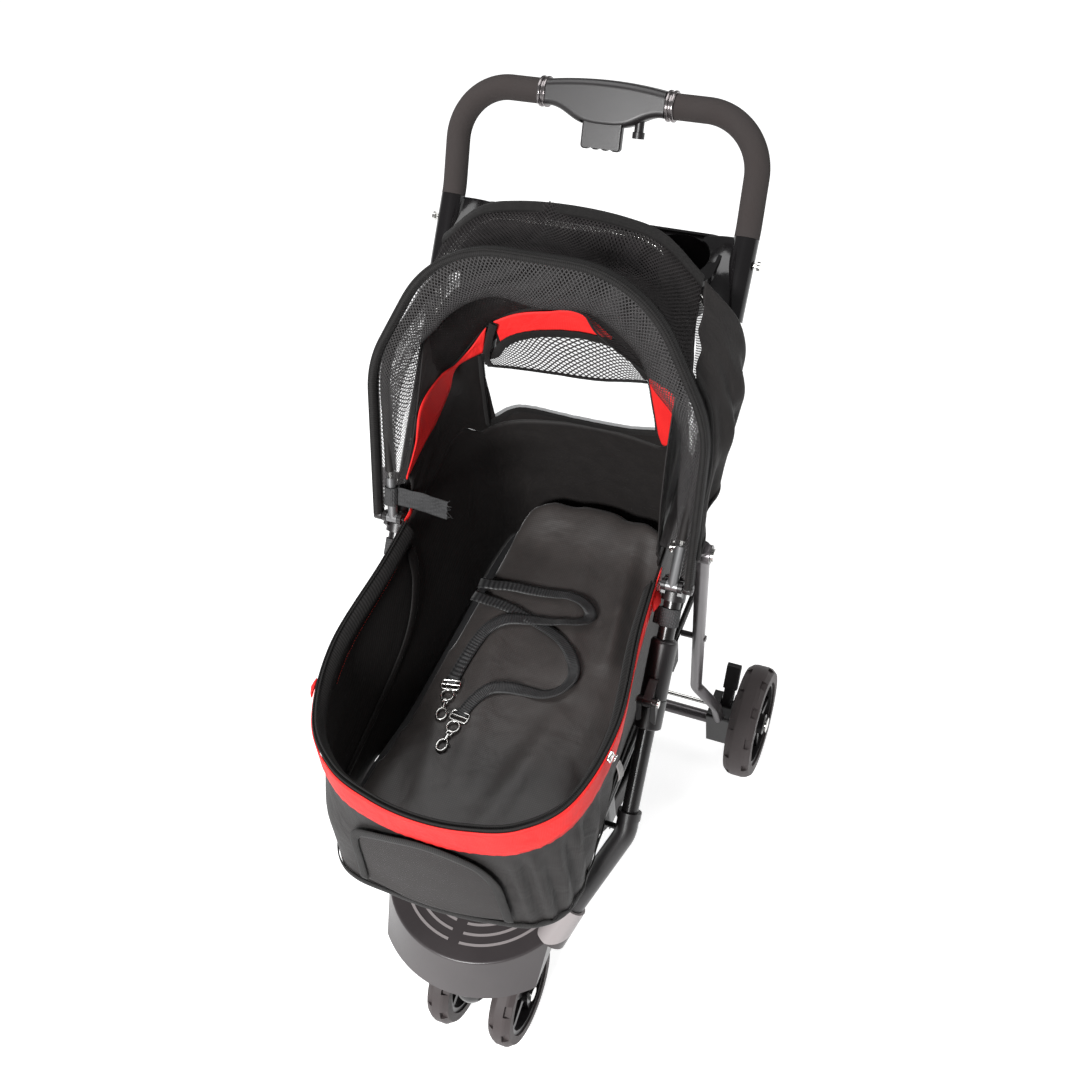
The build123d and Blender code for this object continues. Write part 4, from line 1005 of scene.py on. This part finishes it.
def floor_pad():
    bm = tub_disc(132, PAD_Z, -0.014)
    top = bmesh.ops.extrude_face_region(bm, geom=list(bm.faces))
    raised = [v for v in top["geom"] if isinstance(v, bmesh.types.BMVert)]
    bmesh.ops.translate(bm, verts=raised, vec=(0, 0, PAD_THICK))
    bmesh.ops.recalc_face_normals(bm, faces=bm.faces)
    pad = piece("pad_cushion", bm, PAD_CLOTH, None)

    remesh = pad.modifiers.new("cells", "REMESH")
    remesh.mode, remesh.voxel_size = "VOXEL", PAD_CELL
    settle(pad)
    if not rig.quick():
        rest = [v.co.copy() for v in pad.data.vertices]
        press = pad.modifiers.new("stuffing", "CLOTH")
        press.settings.use_pressure = True
        press.settings.uniform_pressure_force = 4.0
        press.settings.effector_weights.gravity = 0
        for step in range(1, 21):
            scene.frame_set(step)
        settle(pad)
        scene.frame_set(1)
        for vert, start in zip(pad.data.vertices, rest):
            step = vert.co - start
            if step.length > PUFF:
                step *= PUFF / step.length
            vert.co = start + step
    for vert in pad.data.vertices:
        vert.co = pad_crease(vert.co)
    # The rear edge is drawn smooth again after the fold is laid in
    bm = bmesh.new()
    bm.from_mesh(pad.data)
    for _ in range(6):
        rear = [v for v in bm.verts if v.co.y > 0.10]
        bmesh.ops.smooth_vert(bm, verts=rear, factor=0.5, use_axis_x=True, use_axis_y=True, use_axis_z=True)
    bm.to_mesh(pad.data)
    bm.free()
    pad.data.materials.clear()
    pad.data.materials.append(PAD_CLOTH)
    for face in pad.data.polygons:
        face.use_smooth = True
    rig.ride(pad, "front_frame")
    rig.replaces(pad, "floor_pad")
    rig.slot(pad, "cabin_cloth")
    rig.padded(pad, fill=0.4)
    return pad


# Ridges of the pad: start and end on the floor, height and width
RIDGES = [(-0.09, 0.16, -0.02, -0.22, 0.004, 0.016), (-0.02, 0.20, 0.05, -0.05, 0.005, 0.014),
          (0.07, 0.21, 0.10, 0.02, -0.011, 0.011), (0.055, 0.21, 0.085, 0.0, 0.009, 0.013),
          (0.06, -0.06, 0.02, -0.26, 0.005, 0.018), (-0.10, -0.05, -0.05, -0.25, 0.003, 0.014)]


def pad_crease(p):
    """Long diagonal ridges and a deep fold at the right, as the slack cover lies; flat underneath."""
    if p.z < PAD_FLAT:
        return Vector((p.x, p.y, max(p.z, PAD_Z - 0.0004)))
    lift = 0.0
    for x0, y0, x1, y1, high, wide in RIDGES:
        way = Vector((x1 - x0, y1 - y0))
        s = ((p.x - x0) * way.x + (p.y - y0) * way.y) / way.length_squared
        off = abs((p.x - x0) * way.y - (p.y - y0) * way.x) / way.length
        ends = sin(pi * max(0.0, min(1.0, s))) ** 0.5
        lift += high * ends * exp(-(off / wide) ** 2)
    lift += 0.002 * wobble(p.x * 14, p.y * 9, 0) + 0.045 * ease(0.13, 0.24, p.y) ** 1.5
    return Vector((p.x, p.y, p.z + lift * ease(PAD_FLAT, PAD_FREE, p.z)))


PAD = floor_pad()


def pad_top():
    """Finds the pad's height under a point."""
    pad = PAD.data
    tree = bvhtree.BVHTree.FromPolygons([v.co for v in pad.vertices], [f.vertices for f in pad.polygons])

    def height(x, y):
        hit = tree.ray_cast(Vector((x, y, 0.6)), Vector((0, 0, -1)))[0]
        return hit.z if hit else PAD_LEVEL
    return height


PAD_TOP = pad_top()


# Leash: two webbing straps that lie on the pad, each with a slide, a ring and a trigger snap

STRAP_A = [(-118, 60), (-49, 53), (24, 26), (58, -20), (38, -57), (-12, -54), (-48, -72), (-56, -114)]
STRAP_B = [(-118, 80), (-50, 87), (8, 93), (40, 80), (38, 56), (6, 47), (-32, 46), (-66, 30), (-86, -6),
           (-87, -76)]
STRAP_WIDTH = 0.015


def ribbon(line, width, across):
    """Flat strip along a line; across(k) is its sideways direction at point k."""
    last = len(line) - 1

    def place(u, v):
        k = round(u * last)
        return line[k] + across(k) * (v - 0.5) * width
    return cloth(last, 4, place, (run(line), width))


def hook_parts(spot, heading, z):
    """Slide buckle, ring and trigger snap in a row, lying flat."""
    def corners(w, l, y):
        c = 0.0016
        return [(w, y + l - c, 0), (w - c, y + l, 0), (c - w, y + l, 0), (-w, y + l - c, 0),
                (-w, y - l + c, 0), (c - w, y - l, 0), (w - c, y - l, 0), (w, y - l + c, 0)]

    def circle(r, y, z, count):
        turns = [2 * pi * k / count for k in range(count)]
        return [(r * cos(a), y + r * sin(a), z) for a in turns]

    def flat(*points):
        return [(x / 1000, y / 1000, 0.001) for x, y in points]
    bar = [(-0.0110, -0.0075, 0.0006), (0, -0.0075, 0.001), (0.0110, -0.0075, 0.0006)]
    hook = flat((0, -42), (-4.2, -43.5), (-6.6, -49.5), (-4.6, -57), (1.2, -58.5), (5.4, -55.5),
                (5.8, -51.5))
    parts = [bent_wire(corners(0.0112, 0.0066, -0.0075), 0.0013, closed=True),
             bent_wire(bar, 0.0012),
             bent_wire(circle(0.0078, -0.0232, 0.0008, 12), 0.0014, closed=True),
             bent_wire(circle(0.0036, -0.0328, 0.001, 8), 0.0012, closed=True),
             bent_wire(flat((0, -35.2), (0, -42.5)), 0.0026, kind="POLY"),
             bent_wire(hook, 0.0016, steps=8),
             bent_wire(flat((1.4, -41.5), (5.2, -44.5), (6.2, -51)), 0.0012),
             bent_wire([(0.0052, -0.046, 0.0016), (0.0088, -0.0468, 0.0022)], 0.0013, kind="POLY")]
    whole = gather(parts)
    laid = Matrix.Translation((spot[0] / 1000, spot[1] / 1000, z))
    laid = laid @ Matrix.Rotation(radians(heading), 4, "Z")
    bmesh.ops.transform(whole, verts=whole.verts, matrix=laid)
    return whole


def leash():
    for side, route, lift, spot, heading in (("a", STRAP_A, 0.0014, (-56, -108), -4),
                                             ("b", STRAP_B, 0.0034, (-87, -70), 10)):
        line = read_line([(x / 1000, y / 1000, PAD_LEVEL) for x, y in route], steps=10)
        # The strap lies on the highest point of the pad under its width
        under = [(dx, dy) for dx in (-0.006, 0, 0.006) for dy in (-0.006, 0, 0.006)]
        high = [max(PAD_TOP(q.x + dx, q.y + dy) for dx, dy in under) for q in line]
        for k, q in enumerate(line):
            near = high[max(0, k - 4):k + 5]
            q.z = max(high[k], sum(near) / len(near)) + lift

        def across(k):
            way = (line[min(k + 1, len(line) - 1)] - line[max(k - 1, 0)]).normalized()
            flat = way.cross(Vector((0, 0, 1))).normalized()
            turn = radians(24) * sin(9.0 * k / len(line)) * sin(pi * k / (len(line) - 1))
            return flat * cos(turn) + Vector((0, 0, 1)) * sin(turn)
        for k in range(len(line)):
            line[k].z += 0.5 * STRAP_WIDTH * abs(across(k).z)
        bm = ribbon(line, STRAP_WIDTH, across)
        strap = piece("leash_webbing_" + side, bm, WEBBING, "front_frame", ["leash_strap_" + side],
                      thick=0.0014)
        z = PAD_TOP(spot[0] / 1000, spot[1] / 1000 - 0.02) + 0.003
        replaced = ["leash_hooks"] if side == "a" else ()
        hook = piece("leash_hook_" + side, hook_parts(spot, heading, z), BRIGHT_STEEL, "front_frame",
                     replaced)
        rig.cord(strap, exit=line[0], length=run(line), diameter=STRAP_WIDTH, far_end="fitting",
                stiffness="limp", lay="loose", path=line, with_pieces=[hook])


leash()


# Canopy: two hoops at the front, one behind, netting between them and a cloth lining with a window

PIVOT = Vector((0, 0.010687, 0.618265))      # where the bow and the cover edge turn
SOCKET_TOP = 0.668      # height at which the bow leaves its sockets
BOW_LEAN, EDGE_LEAN = 65, 70            # degrees from level


def hoop_face(lean):
    """Direction square to a hoop's plane, backwards and down."""
    a = radians(lean)
    return Vector((0, sin(a), -cos(a)))


def in_hoop(x, v, lean=BOW_LEAN):
    """Point of a hoop plane that leans back over the canopy pivot, in metres from millimetres."""
    a = radians(lean)
    return Vector((x / 1000, PIVOT.y + v / 1000 * cos(a), PIVOT.z + v / 1000 * sin(a)))


def hoop_line(corners, bend):
    """Line of a bent hoop through its corner points, each corner rounded to the bend radius."""
    line = [corners[0]]
    for before, corner, after in zip(corners, corners[1:], corners[2:]):
        a, b = (before - corner).normalized(), (after - corner).normalized()
        half = a.angle(b) / 2
        reach = bend / tan(half)
        middle = corner + (a + b).normalized() * (bend / sin(half))
        start, stop = corner + a * reach - middle, corner + b * reach - middle
        sweep = start.angle(stop)
        for k in range(13):
            f = k / 12
            line.append(middle + (start * sin((1 - f) * sweep) + stop * sin(f * sweep)) / sin(sweep))
    return line + [corners[-1]]


def rear_plane(x, h):
    """Point of the rear bow's plane, in metres from millimetres."""
    foot, top = Vector((0, 0.176, 0.786)), Vector((0, 0.208, 0.914))
    way = (top - foot).normalized()
    return Vector((x / 1000, 0, 0)) + foot + way * h / 1000


ARCH = 160              # steps along a hoop
BOW = [in_hoop(173.2, 38), in_hoop(186.2, 192), in_hoop(104, 322)]
BOW_LINE = spaced(hoop_line(mirrored(BOW), 0.110), ARCH)
EDGE = [in_hoop(188, 3.2, EDGE_LEAN), in_hoop(190, 190, EDGE_LEAN), in_hoop(110, 335, EDGE_LEAN)]
EDGE_LINE = spaced(hoop_line(mirrored(EDGE), 0.125), ARCH)


def cover_edge():
    face = hoop_face(EDGE_LEAN)
    piece("cover_edge_binding", sheathed(EDGE_LINE, 0.0165, 0.010, face), TAPE, "cover_edge",
          ["cover_edge"])
    coils = []
    for shift in (-0.0062, 0.0062):
        out = []
        for k, p in enumerate(EDGE_LINE):
            way = (EDGE_LINE[min(k + 1, ARCH)] - EDGE_LINE[max(k - 1, 0)]).normalized()
            out.append(p + face * shift + way.cross(face) * -0.0034)
        coils.append(bent_wire(out, 0.0012, kind="POLY", sides=1))
    piece("cover_edge_coil", gather(coils), TAPE, "cover_edge")
    pins = []
    for s in (-1, 1):
        tab = bmesh.new()
        stand = Matrix.Translation((s * 0.188, PIVOT.y, PIVOT.z)) @ Matrix.Rotation(pi / 2, 4, "Y")
        bmesh.ops.create_cone(tab, cap_ends=True, segments=24, radius1=0.006, radius2=0.006, depth=0.010,
                              matrix=stand)
        bmesh.ops.bevel(tab, geom=tab.edges, offset=0.0008, segments=2, profile=0.5, affect="EDGES",
                        material=-1)
        pins.append(tab)
    piece("cover_edge_tabs", gather(pins), SATIN_PLASTIC, "cover_edge")


cover_edge()


def bow_sleeve():
    """Cloth sleeve sewn round the bow above its sockets."""
    line = [p for p in BOW_LINE if p.z > SOCKET_TOP]
    sleeve = sheathed(line, 0.0135, 0.011, hoop_face(BOW_LEAN), swell=0.08)
    piece("bow_sleeve", sleeve, BLACK_CLOTH, "canopy_bow")


bow_sleeve()


def hook_straps():
    """Hook tape round the bow's left foot with its free end inwards, and a tab round each push tube."""
    face = hoop_face(BOW_LEAN)

    def flap(u, v):
        curl = 0.006 * ease(0.4, 1.0, u) + 0.002 * wobble(u * 5, v * 3, 8)
        fray = 0.0022 * ease(0.96, 1.0, u) * wobble(v * 60, 0.5, 0.5)
        return in_hoop(-166 + 68 * (u + fray * 10), 17 + 22 * v) - face * curl
    tail = cloth(40, 14, flap, (0.058, 0.022))
    foot = [in_hoop(-172.4, 17 + 1.1 * k) for k in range(21)]
    round_bow = sheathed(foot, 0.0165, 0.0165, face, swell=0.05)
    ends = []
    for k in range(9):
        root = flap(1.0, 0.06 + 0.11 * k)
        bend = Vector((0.003 + 0.002 * sin(k * 2.3), 0.0015 * sin(k * 1.7), 0.0025 * cos(k * 3.1)))
        tip = root + bend * 1.3 - Vector((0, 0, 0.001))
        ends.append(bent_wire([root, root + bend * 0.6, tip], 0.0003, sides=1))
    whole = gather([tail, round_bow])
    piece("bow_strap", whole, HOOK_TAPE, "canopy_bow", ["velcro_strap"], thick=0.0012)
    piece("bow_strap_fray", gather(ends), HOOK_TAPE, "canopy_bow")

    foot = Vector((0, -0.0647, 0.511))
    along, out = Vector((0, 0.67623, 0.73669)), Vector((0, -0.73669, 0.67623))      # of the push tube
    tabs = []
    for s in (-1, 1):
        line = [foot + along * (0.083 + 0.001 * k) + Vector((s * 0.170, 0, 0)) for k in range(21)]
        tabs.append(sheathed(line, 0.0226, 0.0226, out, swell=0.03))

        def end(u, v):
            p = foot + along * (0.083 + 0.020 * v) + out * (0.001 + 0.003 * sin(3 * u))
            return p + Vector((s * (0.161 - 0.008 * u), 0, 0))
        tabs.append(cloth(16, 12, end, (0.010, 0.020)))
    piece("tube_tabs", gather(tabs), HOOK_TAPE, "push_bar", ["velcro_tabs"], thick=0.001)


hook_straps()


# Front edge of the hood, where its netting is sewn to the lining, from right to left
HOOD_EDGE = [Vector(p) / 1000 for p in (
    (152, 34, 652), (151, 85, 662), (148, 126, 674), (142, 146, 712), (124, 188, 733), (85, 200, 736),
    (28, 200, 779), (5, 200, 809), (-56, 200, 800), (-108, 198, 768), (-138, 160, 738), (-145, 122, 744),
    (-147, 78, 742), (-148, 52, 706), (-149, 21, 680))]
BOW_FRONT = -hoop_face(BOW_LEAN)
HOOD_CORE = 0.72        # height of the hood's middle line
NET_EDGE = -0.158       # the hood's left end is of the thinner netting
FLAP_EDGE = 0.105       # the side flap's cloth reaches under the roof's right end


def inwards(p):
    """Direction from a point of the hood to its middle line."""
    return (Vector((0, p.y, HOOD_CORE)) - p).normalized()


def bends_with_bow(made):
    """The cloth follows the bow at its front and the push bar at its back."""
    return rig.blend(made, "push_bar", "canopy_bow", start=PIVOT - BOW_FRONT * 0.085,
                    end=PIVOT - BOW_FRONT * 0.004)


def hood_netting():
    def slack(u, v):
        """Front cover, let go: hangs in soft folds between its zipper and the bow."""
        top = sin(pi * u) ** 1.6
        p = on_line(EDGE_LINE, u).lerp(on_line(BOW_LINE, u), v)
        drop = sin(pi * v) * (0.012 + 0.040 * top)
        fold = 0.007 * wobble(u * 13, v * 2, 1) * sin(pi * v)
        inward = inwards(p)
        inward -= BOW_FRONT * inward.dot(BOW_FRONT)
        return p + inward * (drop + fold)
    cover = piece("cover_netting", cloth(120, 16, slack, (1.02, 0.14)), NETTING, None, ["cover_mesh"])
    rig.blend(cover, "canopy_bow", "cover_edge", start=PIVOT, end=PIVOT + BOW_FRONT * 0.020)

    def inner(u, v):
        """Hood netting from the bow back to the lining."""
        p = on_line(BOW_LINE, u).lerp(through(HOOD_EDGE, u), v)
        return p + inwards(p) * (0.012 + 0.006 * wobble(u * 9, v * 3, 7)) * sin(pi * v)
    hood = piece("hood_netting", cloth(120, 20, inner, (1.0, 0.13)), [HOOD_MESH, NETTING], None)
    for face in hood.data.polygons:
        face.material_index = int(face.center.x < NET_EDGE)
    bends_with_bow(hood)
    seam = [through(HOOD_EDGE, k / 120) for k in range(121)]
    binding = sheathed(seam, 0.003, 0.007, Vector((0, 0.6, 0.8)), swell=0.15)
    bends_with_bow(piece("hood_edge_binding", binding, TAPE, None))
    return cover, hood


COVER_NET, HOOD_NET = hood_netting()
ROOF_BACK = [rear_plane(x, h) for x, h in ((146, 96), (103, 133), (60, 145), (0, 149), (-60, 145),
                                           (-103, 133), (-146, 96))]


def canopy_roof():
    line = spaced([through(ROOF_BACK, k / 60) for k in range(61)], 80)
    front = spaced([p for p in BOW_LINE if p.z > in_hoop(0, 236).z], 80)

    def place(u, v):
        a = on_line(front, u)
        p = (a - inwards(a) * 0.007).lerp(on_line(line, u), v)
        hang = -0.014 * sin(pi * v) * (0.6 + 0.4 * cos(2 * pi * (u - 0.5)))
        dip = -0.020 * exp(-((u - 0.33) / 0.10) ** 2) * sin(pi * v) ** 2
        peak = 0.009 * exp(-(abs(u - 0.56) / 0.035)) * ease(0.15, 0.9, v)
        wave = 0.004 * wobble(u * 8, v * 3, 4) * sin(pi * v)
        return p - inwards(p) * (hang + dip + peak + wave)
    roof = piece("canopy_roof_netting", cloth(110, 30, place, (0.46, 0.12)), HOOD_MESH, None,
                 ["canopy_roof"])
    below = cloth(110, 20, lambda u, v: place(u, v) - Vector((0, 0, 0.004)), (0.46, 0.12))
    under = piece("canopy_roof_lining", below, [HOOD_MESH, BLACK_CLOTH], None)
    for face in under.data.polygons:
        face.material_index = int(face.center.x > FLAP_EDGE)
    for made in (roof, under):
        bends_with_bow(made)
    face = Vector((0, 0.9, 0.44)).normalized()
    for name, body, seam in (("canopy_roof_back_binding", "push_bar", line),
                             ("canopy_roof_front_binding", "canopy_bow", front)):
        piece(name, sheathed(seam, 0.012, 0.007, face, swell=0.1), TAPE, body)
    return [roof, under]


ROOF = canopy_roof()


def side_panel(s, wide, wave):
    """Cloth from the bow to the rear hoop, on side s: wide is its stand-off, wave the depth of its folds."""
    front = []
    for up, stand in ((40, 16), (100, 8), (150, 6), (200, 4), (243, 3)):
        near = min(BOW_LINE, key=lambda p: (p - in_hoop(s * 175, up)).length)
        front.append(near + Vector((s * (4 + stand * wide) / 1000, 0, 0)))
    back = [rear_plane(s * (170 + 24 * wide), 2), rear_plane(s * (165 + 24 * wide), 55),
            rear_plane(s * (141.5 + 7 * wide), 97)]

    def place(u, v):
        p = through(front, v).lerp(through(back, v), u)
        fold = wave * (sin(u * 21 + 2.5 * v) * (1 - v) + 0.8 * wobble(u * 5, v * 4, s))
        belly = 0.012 * wide * sin(pi * v)
        return p + Vector((s * (fold + belly) * sin(pi * u) ** 0.7, 0, 0))
    return place


def canopy_sides():
    """Netting on both sides, and on the right a loose cloth flap over it with a red facing."""
    made = []
    for side, s, finish in (("right", 1, HOOD_MESH), ("left", -1, NETTING)):
        close = cloth(60, 40, side_panel(s, 0.0, 0.0015), (0.24, 0.22))
        made.append(piece("canopy_side_netting_" + side, close, finish, None, ["canopy_side_" + side]))
    loose = side_panel(1, 1.0, 0.006)
    flap = piece("canopy_side_flap", cloth(60, 40, loose, (0.24, 0.22)), BLACK_CLOTH, None)
    red = cloth(30, 20, lambda u, v: loose(u * 0.55, v * 0.3) + Vector((-0.0025, 0, -0.003)), (0.12, 0.07))
    facing = piece("canopy_side_facing", red, RED_CLOTH, None)
    edges = gather([bent_wire([loose(k / 20, 0) for k in range(21)], 0.0028),
                    bent_wire([loose(0, k / 20) for k in range(21)], 0.0034)])
    made += [flap, facing, piece("canopy_side_binding", edges, TAPE, None)]
    for panel in made:
        bends_with_bow(panel)
    thicken(flap, 0.0012)
    return made


SIDES = canopy_sides()
HOOD_FOOT = 0.6         # height at which the hood leaves the line of the tub


def hood_at(t, z, out=0.0):
    """Point on the hood wall above the cabin's back."""
    k = (HOOD_FOOT - FLOOR_Z) / (CROWN_Z - FLOOR_Z)
    f = (z - HOOD_FOOT) / (HOOD_Z - HOOD_FOOT)

    def plan(turn):
        return ring(BASE, turn).lerp(ring(CROWN, turn), k).lerp(ring(HOOD, turn), f)
    return stand_off(plan, t, z, out)


# The hood's inside top: distance from its middle, and height
VAULT = [(0, 0.897), (0.076, 0.888), (0.138, 0.852), (0.166, 0.790), (0.172, 0.560)]
# Upper edge of the lining: distance along the stroller, and height
RIGHT_TOP = [(0.034, 0.654), (0.046, 0.700), (0.070, 0.748), (0.100, 0.790), (0.192, 0.836)]
LEFT_TOP = [(0.022, 0.680), (0.050, 0.708), (0.076, 0.745), (0.115, 0.800), (0.192, 0.836)]


def hood_top(t):
    """Height of the lining's upper edge: it runs up under the roof."""
    p = hood_at(t, 0.7)
    return between(RIGHT_TOP if p.x > 0 else LEFT_TOP, p.y) or between(VAULT, abs(p.x)) or VAULT[-1][1]


def hood_patch(lower, upper, out, grid):
    """Cloth on the hood wall between two lines of turns and heights."""
    def place(u, v):
        spot = through(lower, u).lerp(through(upper, u), v)
        return hood_at(spot.x, spot.y, out)
    wide = run([place(k / 20, 0.5) for k in range(21)])
    return cloth(*grid, place, (wide, (place(0.5, 1) - place(0.5, 0)).length))


# The window's edges in the back of the hood, from left to right
WINDOW_LOW = [(0.633, 0.614), (0.610, 0.617), (0.591, 0.624), (0.573, 0.625), (0.525, 0.613),
              (0.468, 0.615), (0.425, 0.633)]
WINDOW_HIGH = [(0.618, 0.727), (0.597, 0.728), (0.584, 0.742), (0.567, 0.754), (0.541, 0.7625),
               (0.4925, 0.769), (0.455, 0.761), (0.430, 0.728)]
FLAP_LOW = [(0.614, 0.717), (0.5965, 0.708), (0.543, 0.699), (0.488, 0.7005), (0.431, 0.721)]
# Edges of the lining's three red strips: left, right and over the window
RED_LEFT_LOW = [(0.7438, 0.680), (0.722, 0.692), (0.704, 0.697), (0.681, 0.713), (0.666, 0.731),
                (0.633, 0.731), (0.613, 0.732)]
RED_LEFT_HIGH = [(0.7438, 0.682), (0.730, 0.706), (0.717, 0.741), (0.689, 0.744), (0.660, 0.737),
                 (0.629, 0.746), (0.600, 0.770)]
RED_RIGHT_LOW = [(0.425, 0.633), (0.419, 0.616), (0.400, 0.637), (0.370, 0.642), (0.340, 0.642),
                 (0.315, 0.642)]
RED_RIGHT_HIGH = [(0.430, 0.726), (0.415, 0.722), (0.394, 0.719), (0.372, 0.700), (0.345, 0.670),
                  (0.317, 0.645)]
RED_TOP_LOW = [(0.586, 0.745), (0.567, 0.757), (0.541, 0.766), (0.4925, 0.772), (0.468, 0.768)]
RED_TOP_HIGH = [(0.589, 0.778), (0.560, 0.791), (0.5315, 0.797), (0.4968, 0.804), (0.466, 0.775)]
LINING_T = 0.2605       # where the lining starts on the right
LINING_LONG, LINING_TALL = 0.80, 0.25


def in_window(t, z):
    """True inside the window's opening."""
    lines = (WINDOW_LOW, WINDOW_HIGH)
    if any(not line[-1][0] <= t <= line[0][0] for line in lines):
        return False
    low, high = (between(line[::-1], t) for line in lines)
    return low < z < high


def canopy_lining():
    def spot(u, v):
        t = LINING_T + (1 - 2 * LINING_T) * u
        low = cabin_rim(t) + 0.0004
        return t, low + (hood_top(t) - low) * v

    def place(u, v):
        loose = 0.004 * wobble(u * 16, v * 4, 9) * sin(pi * v)
        return hood_at(*spot(u, v), loose - 0.001)
    bm = cloth(200, 70, place, (LINING_LONG, LINING_TALL))
    flat = bm.loops.layers.uv.active
    gone = []
    for face in bm.faces:
        u = sum(loop[flat].uv.x for loop in face.loops) / (4 * LINING_LONG)
        v = sum(loop[flat].uv.y for loop in face.loops) / (4 * LINING_TALL)
        if in_window(*spot(u, v)):
            gone.append(face)
    bmesh.ops.delete(bm, geom=gone, context="FACES")
    lining = piece("canopy_lining", bm, BLACK_CLOTH, "push_bar", ["canopy_rear"], thick=0.0016)

    reds = [hood_patch(lower, upper, out, grid) for lower, upper, out, grid in (
        (RED_LEFT_LOW, RED_LEFT_HIGH, -0.0042, (60, 8)), (RED_RIGHT_LOW, RED_RIGHT_HIGH, -0.0042, (40, 24)),
        (RED_TOP_LOW, RED_TOP_HIGH, -0.0045, (60, 8)))]
    red = piece("hood_red_lining", gather(reds), RED_CLOTH, "push_bar", thick=0.0012)

    above = [(0.618, 0.729), (0.596, 0.745), (0.567, 0.757), (0.525, 0.769), (0.470, 0.767), (0.428, 0.730)]
    film = hood_patch(WINDOW_LOW, above, -0.0014, (50, 26))
    window = piece("rear_window_film", film, WINDOW_FILM, "push_bar", ["rear_window"])
    half = piece("window_flap", hood_patch(FLAP_LOW, WINDOW_HIGH, -0.006, (60, 14)), HOOD_MESH, "push_bar")

    seams = [(WINDOW_LOW, 60, -0.003, 0.009), (WINDOW_HIGH, 80, -0.0065, 0.011),
             (FLAP_LOW, 60, -0.0065, 0.004),
             ([(0.618, 0.729), (0.6275, 0.668), (0.633, 0.614)], 20, -0.003, 0.006),
             ([(0.429, 0.728), (0.4285, 0.684), (0.425, 0.633)], 20, -0.003, 0.005),
             ([(0.589, 0.777), (0.603, 0.745), (0.610, 0.724), (0.606, 0.711)], 24, -0.0075, 0.010)]
    # The same tape on the outside, round the window's cut edge
    for line in (WINDOW_LOW, WINDOW_HIGH, [(0.619, 0.729), (0.634, 0.613)],
                 [(0.4295, 0.728), (0.4245, 0.632)]):
        seams.append((line, 60, 0.0006, 0.013))
    bindings = []
    for line, count, out, wide in seams:
        taped = [hood_at(*through(line, k / count), out) for k in range(count + 1)]
        bindings.append(sheathed(taped, 0.003, wide, Vector((0, 1, 0.05)).normalized(), swell=0.15))
    tape = piece("window_bindings", gather(bindings), TAPE, "push_bar")
    return [lining, red, window, half, tape]


LINING = canopy_lining()


# How the cloth was cut, and how it crumples when the frame folds

def cut(made, width, held, rests_on, with_pieces=()):
    """Declares a sheet by its width, and the length that its area then gives."""
    area = sum(face.area for face in made.data.polygons)
    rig.sheet(made, flat=(width, area / width), held=held, rests_on=rests_on, with_pieces=with_pieces)


cut(CABIN[0], ROUND, "hung", ["floor_frame"], CABIN[1:] + TRIMS[:1] + TRIMS[3:] + PULL)
cut(TRIMS[1], 0.25, "stretched", ["cabin_wall"], [TRIMS[2]])
cut(BASKET[0], 1.06, "hung", ["basket_straps"], BASKET[1:])
cut(COVER_NET, run(EDGE_LINE), "hung", ["cover_edge", "canopy_bow"])
cut(HOOD_NET, run(BOW_LINE), "hung", ["canopy_bow", "canopy_lining"])
cut(ROOF[0], 0.40, "hung", ["canopy_bow", "rear_bow"], [ROOF[1]])
cut(SIDES[0], 0.20, "hung", ["canopy_bow", "rear_bow"])
cut(SIDES[1], 0.20, "hung", ["canopy_bow", "rear_bow"])
cut(SIDES[2], 0.20, "hung", ["canopy_bow", "rear_bow"], SIDES[3:])
cut(LINING[0], 0.72, "hung", ["rear_bow"], [LINING[1], LINING[4]])
cut(LINING[2], 0.25, "stretched", ["canopy_lining"])
cut(LINING[3], 0.21, "hung", ["canopy_lining"])

for soft in CABIN[:1] + CABIN[2:] + TRIMS + PULL:
    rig.squash(soft, "frame_fold", axis=(0, 0, 1), anchor=(0, 0, FLOOR_Z), keep=0.36)
for soft in LINING:
    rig.squash(soft, "frame_fold", axis=(0, -0.737, 0.676), anchor=(0, 0.172, 0.769), keep=0.2)

size = {"cad": CAD_BOX, "visual": [list(corner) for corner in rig.bounds()]}
with open("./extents.json", "w") as out:
    json.dump(size, out)
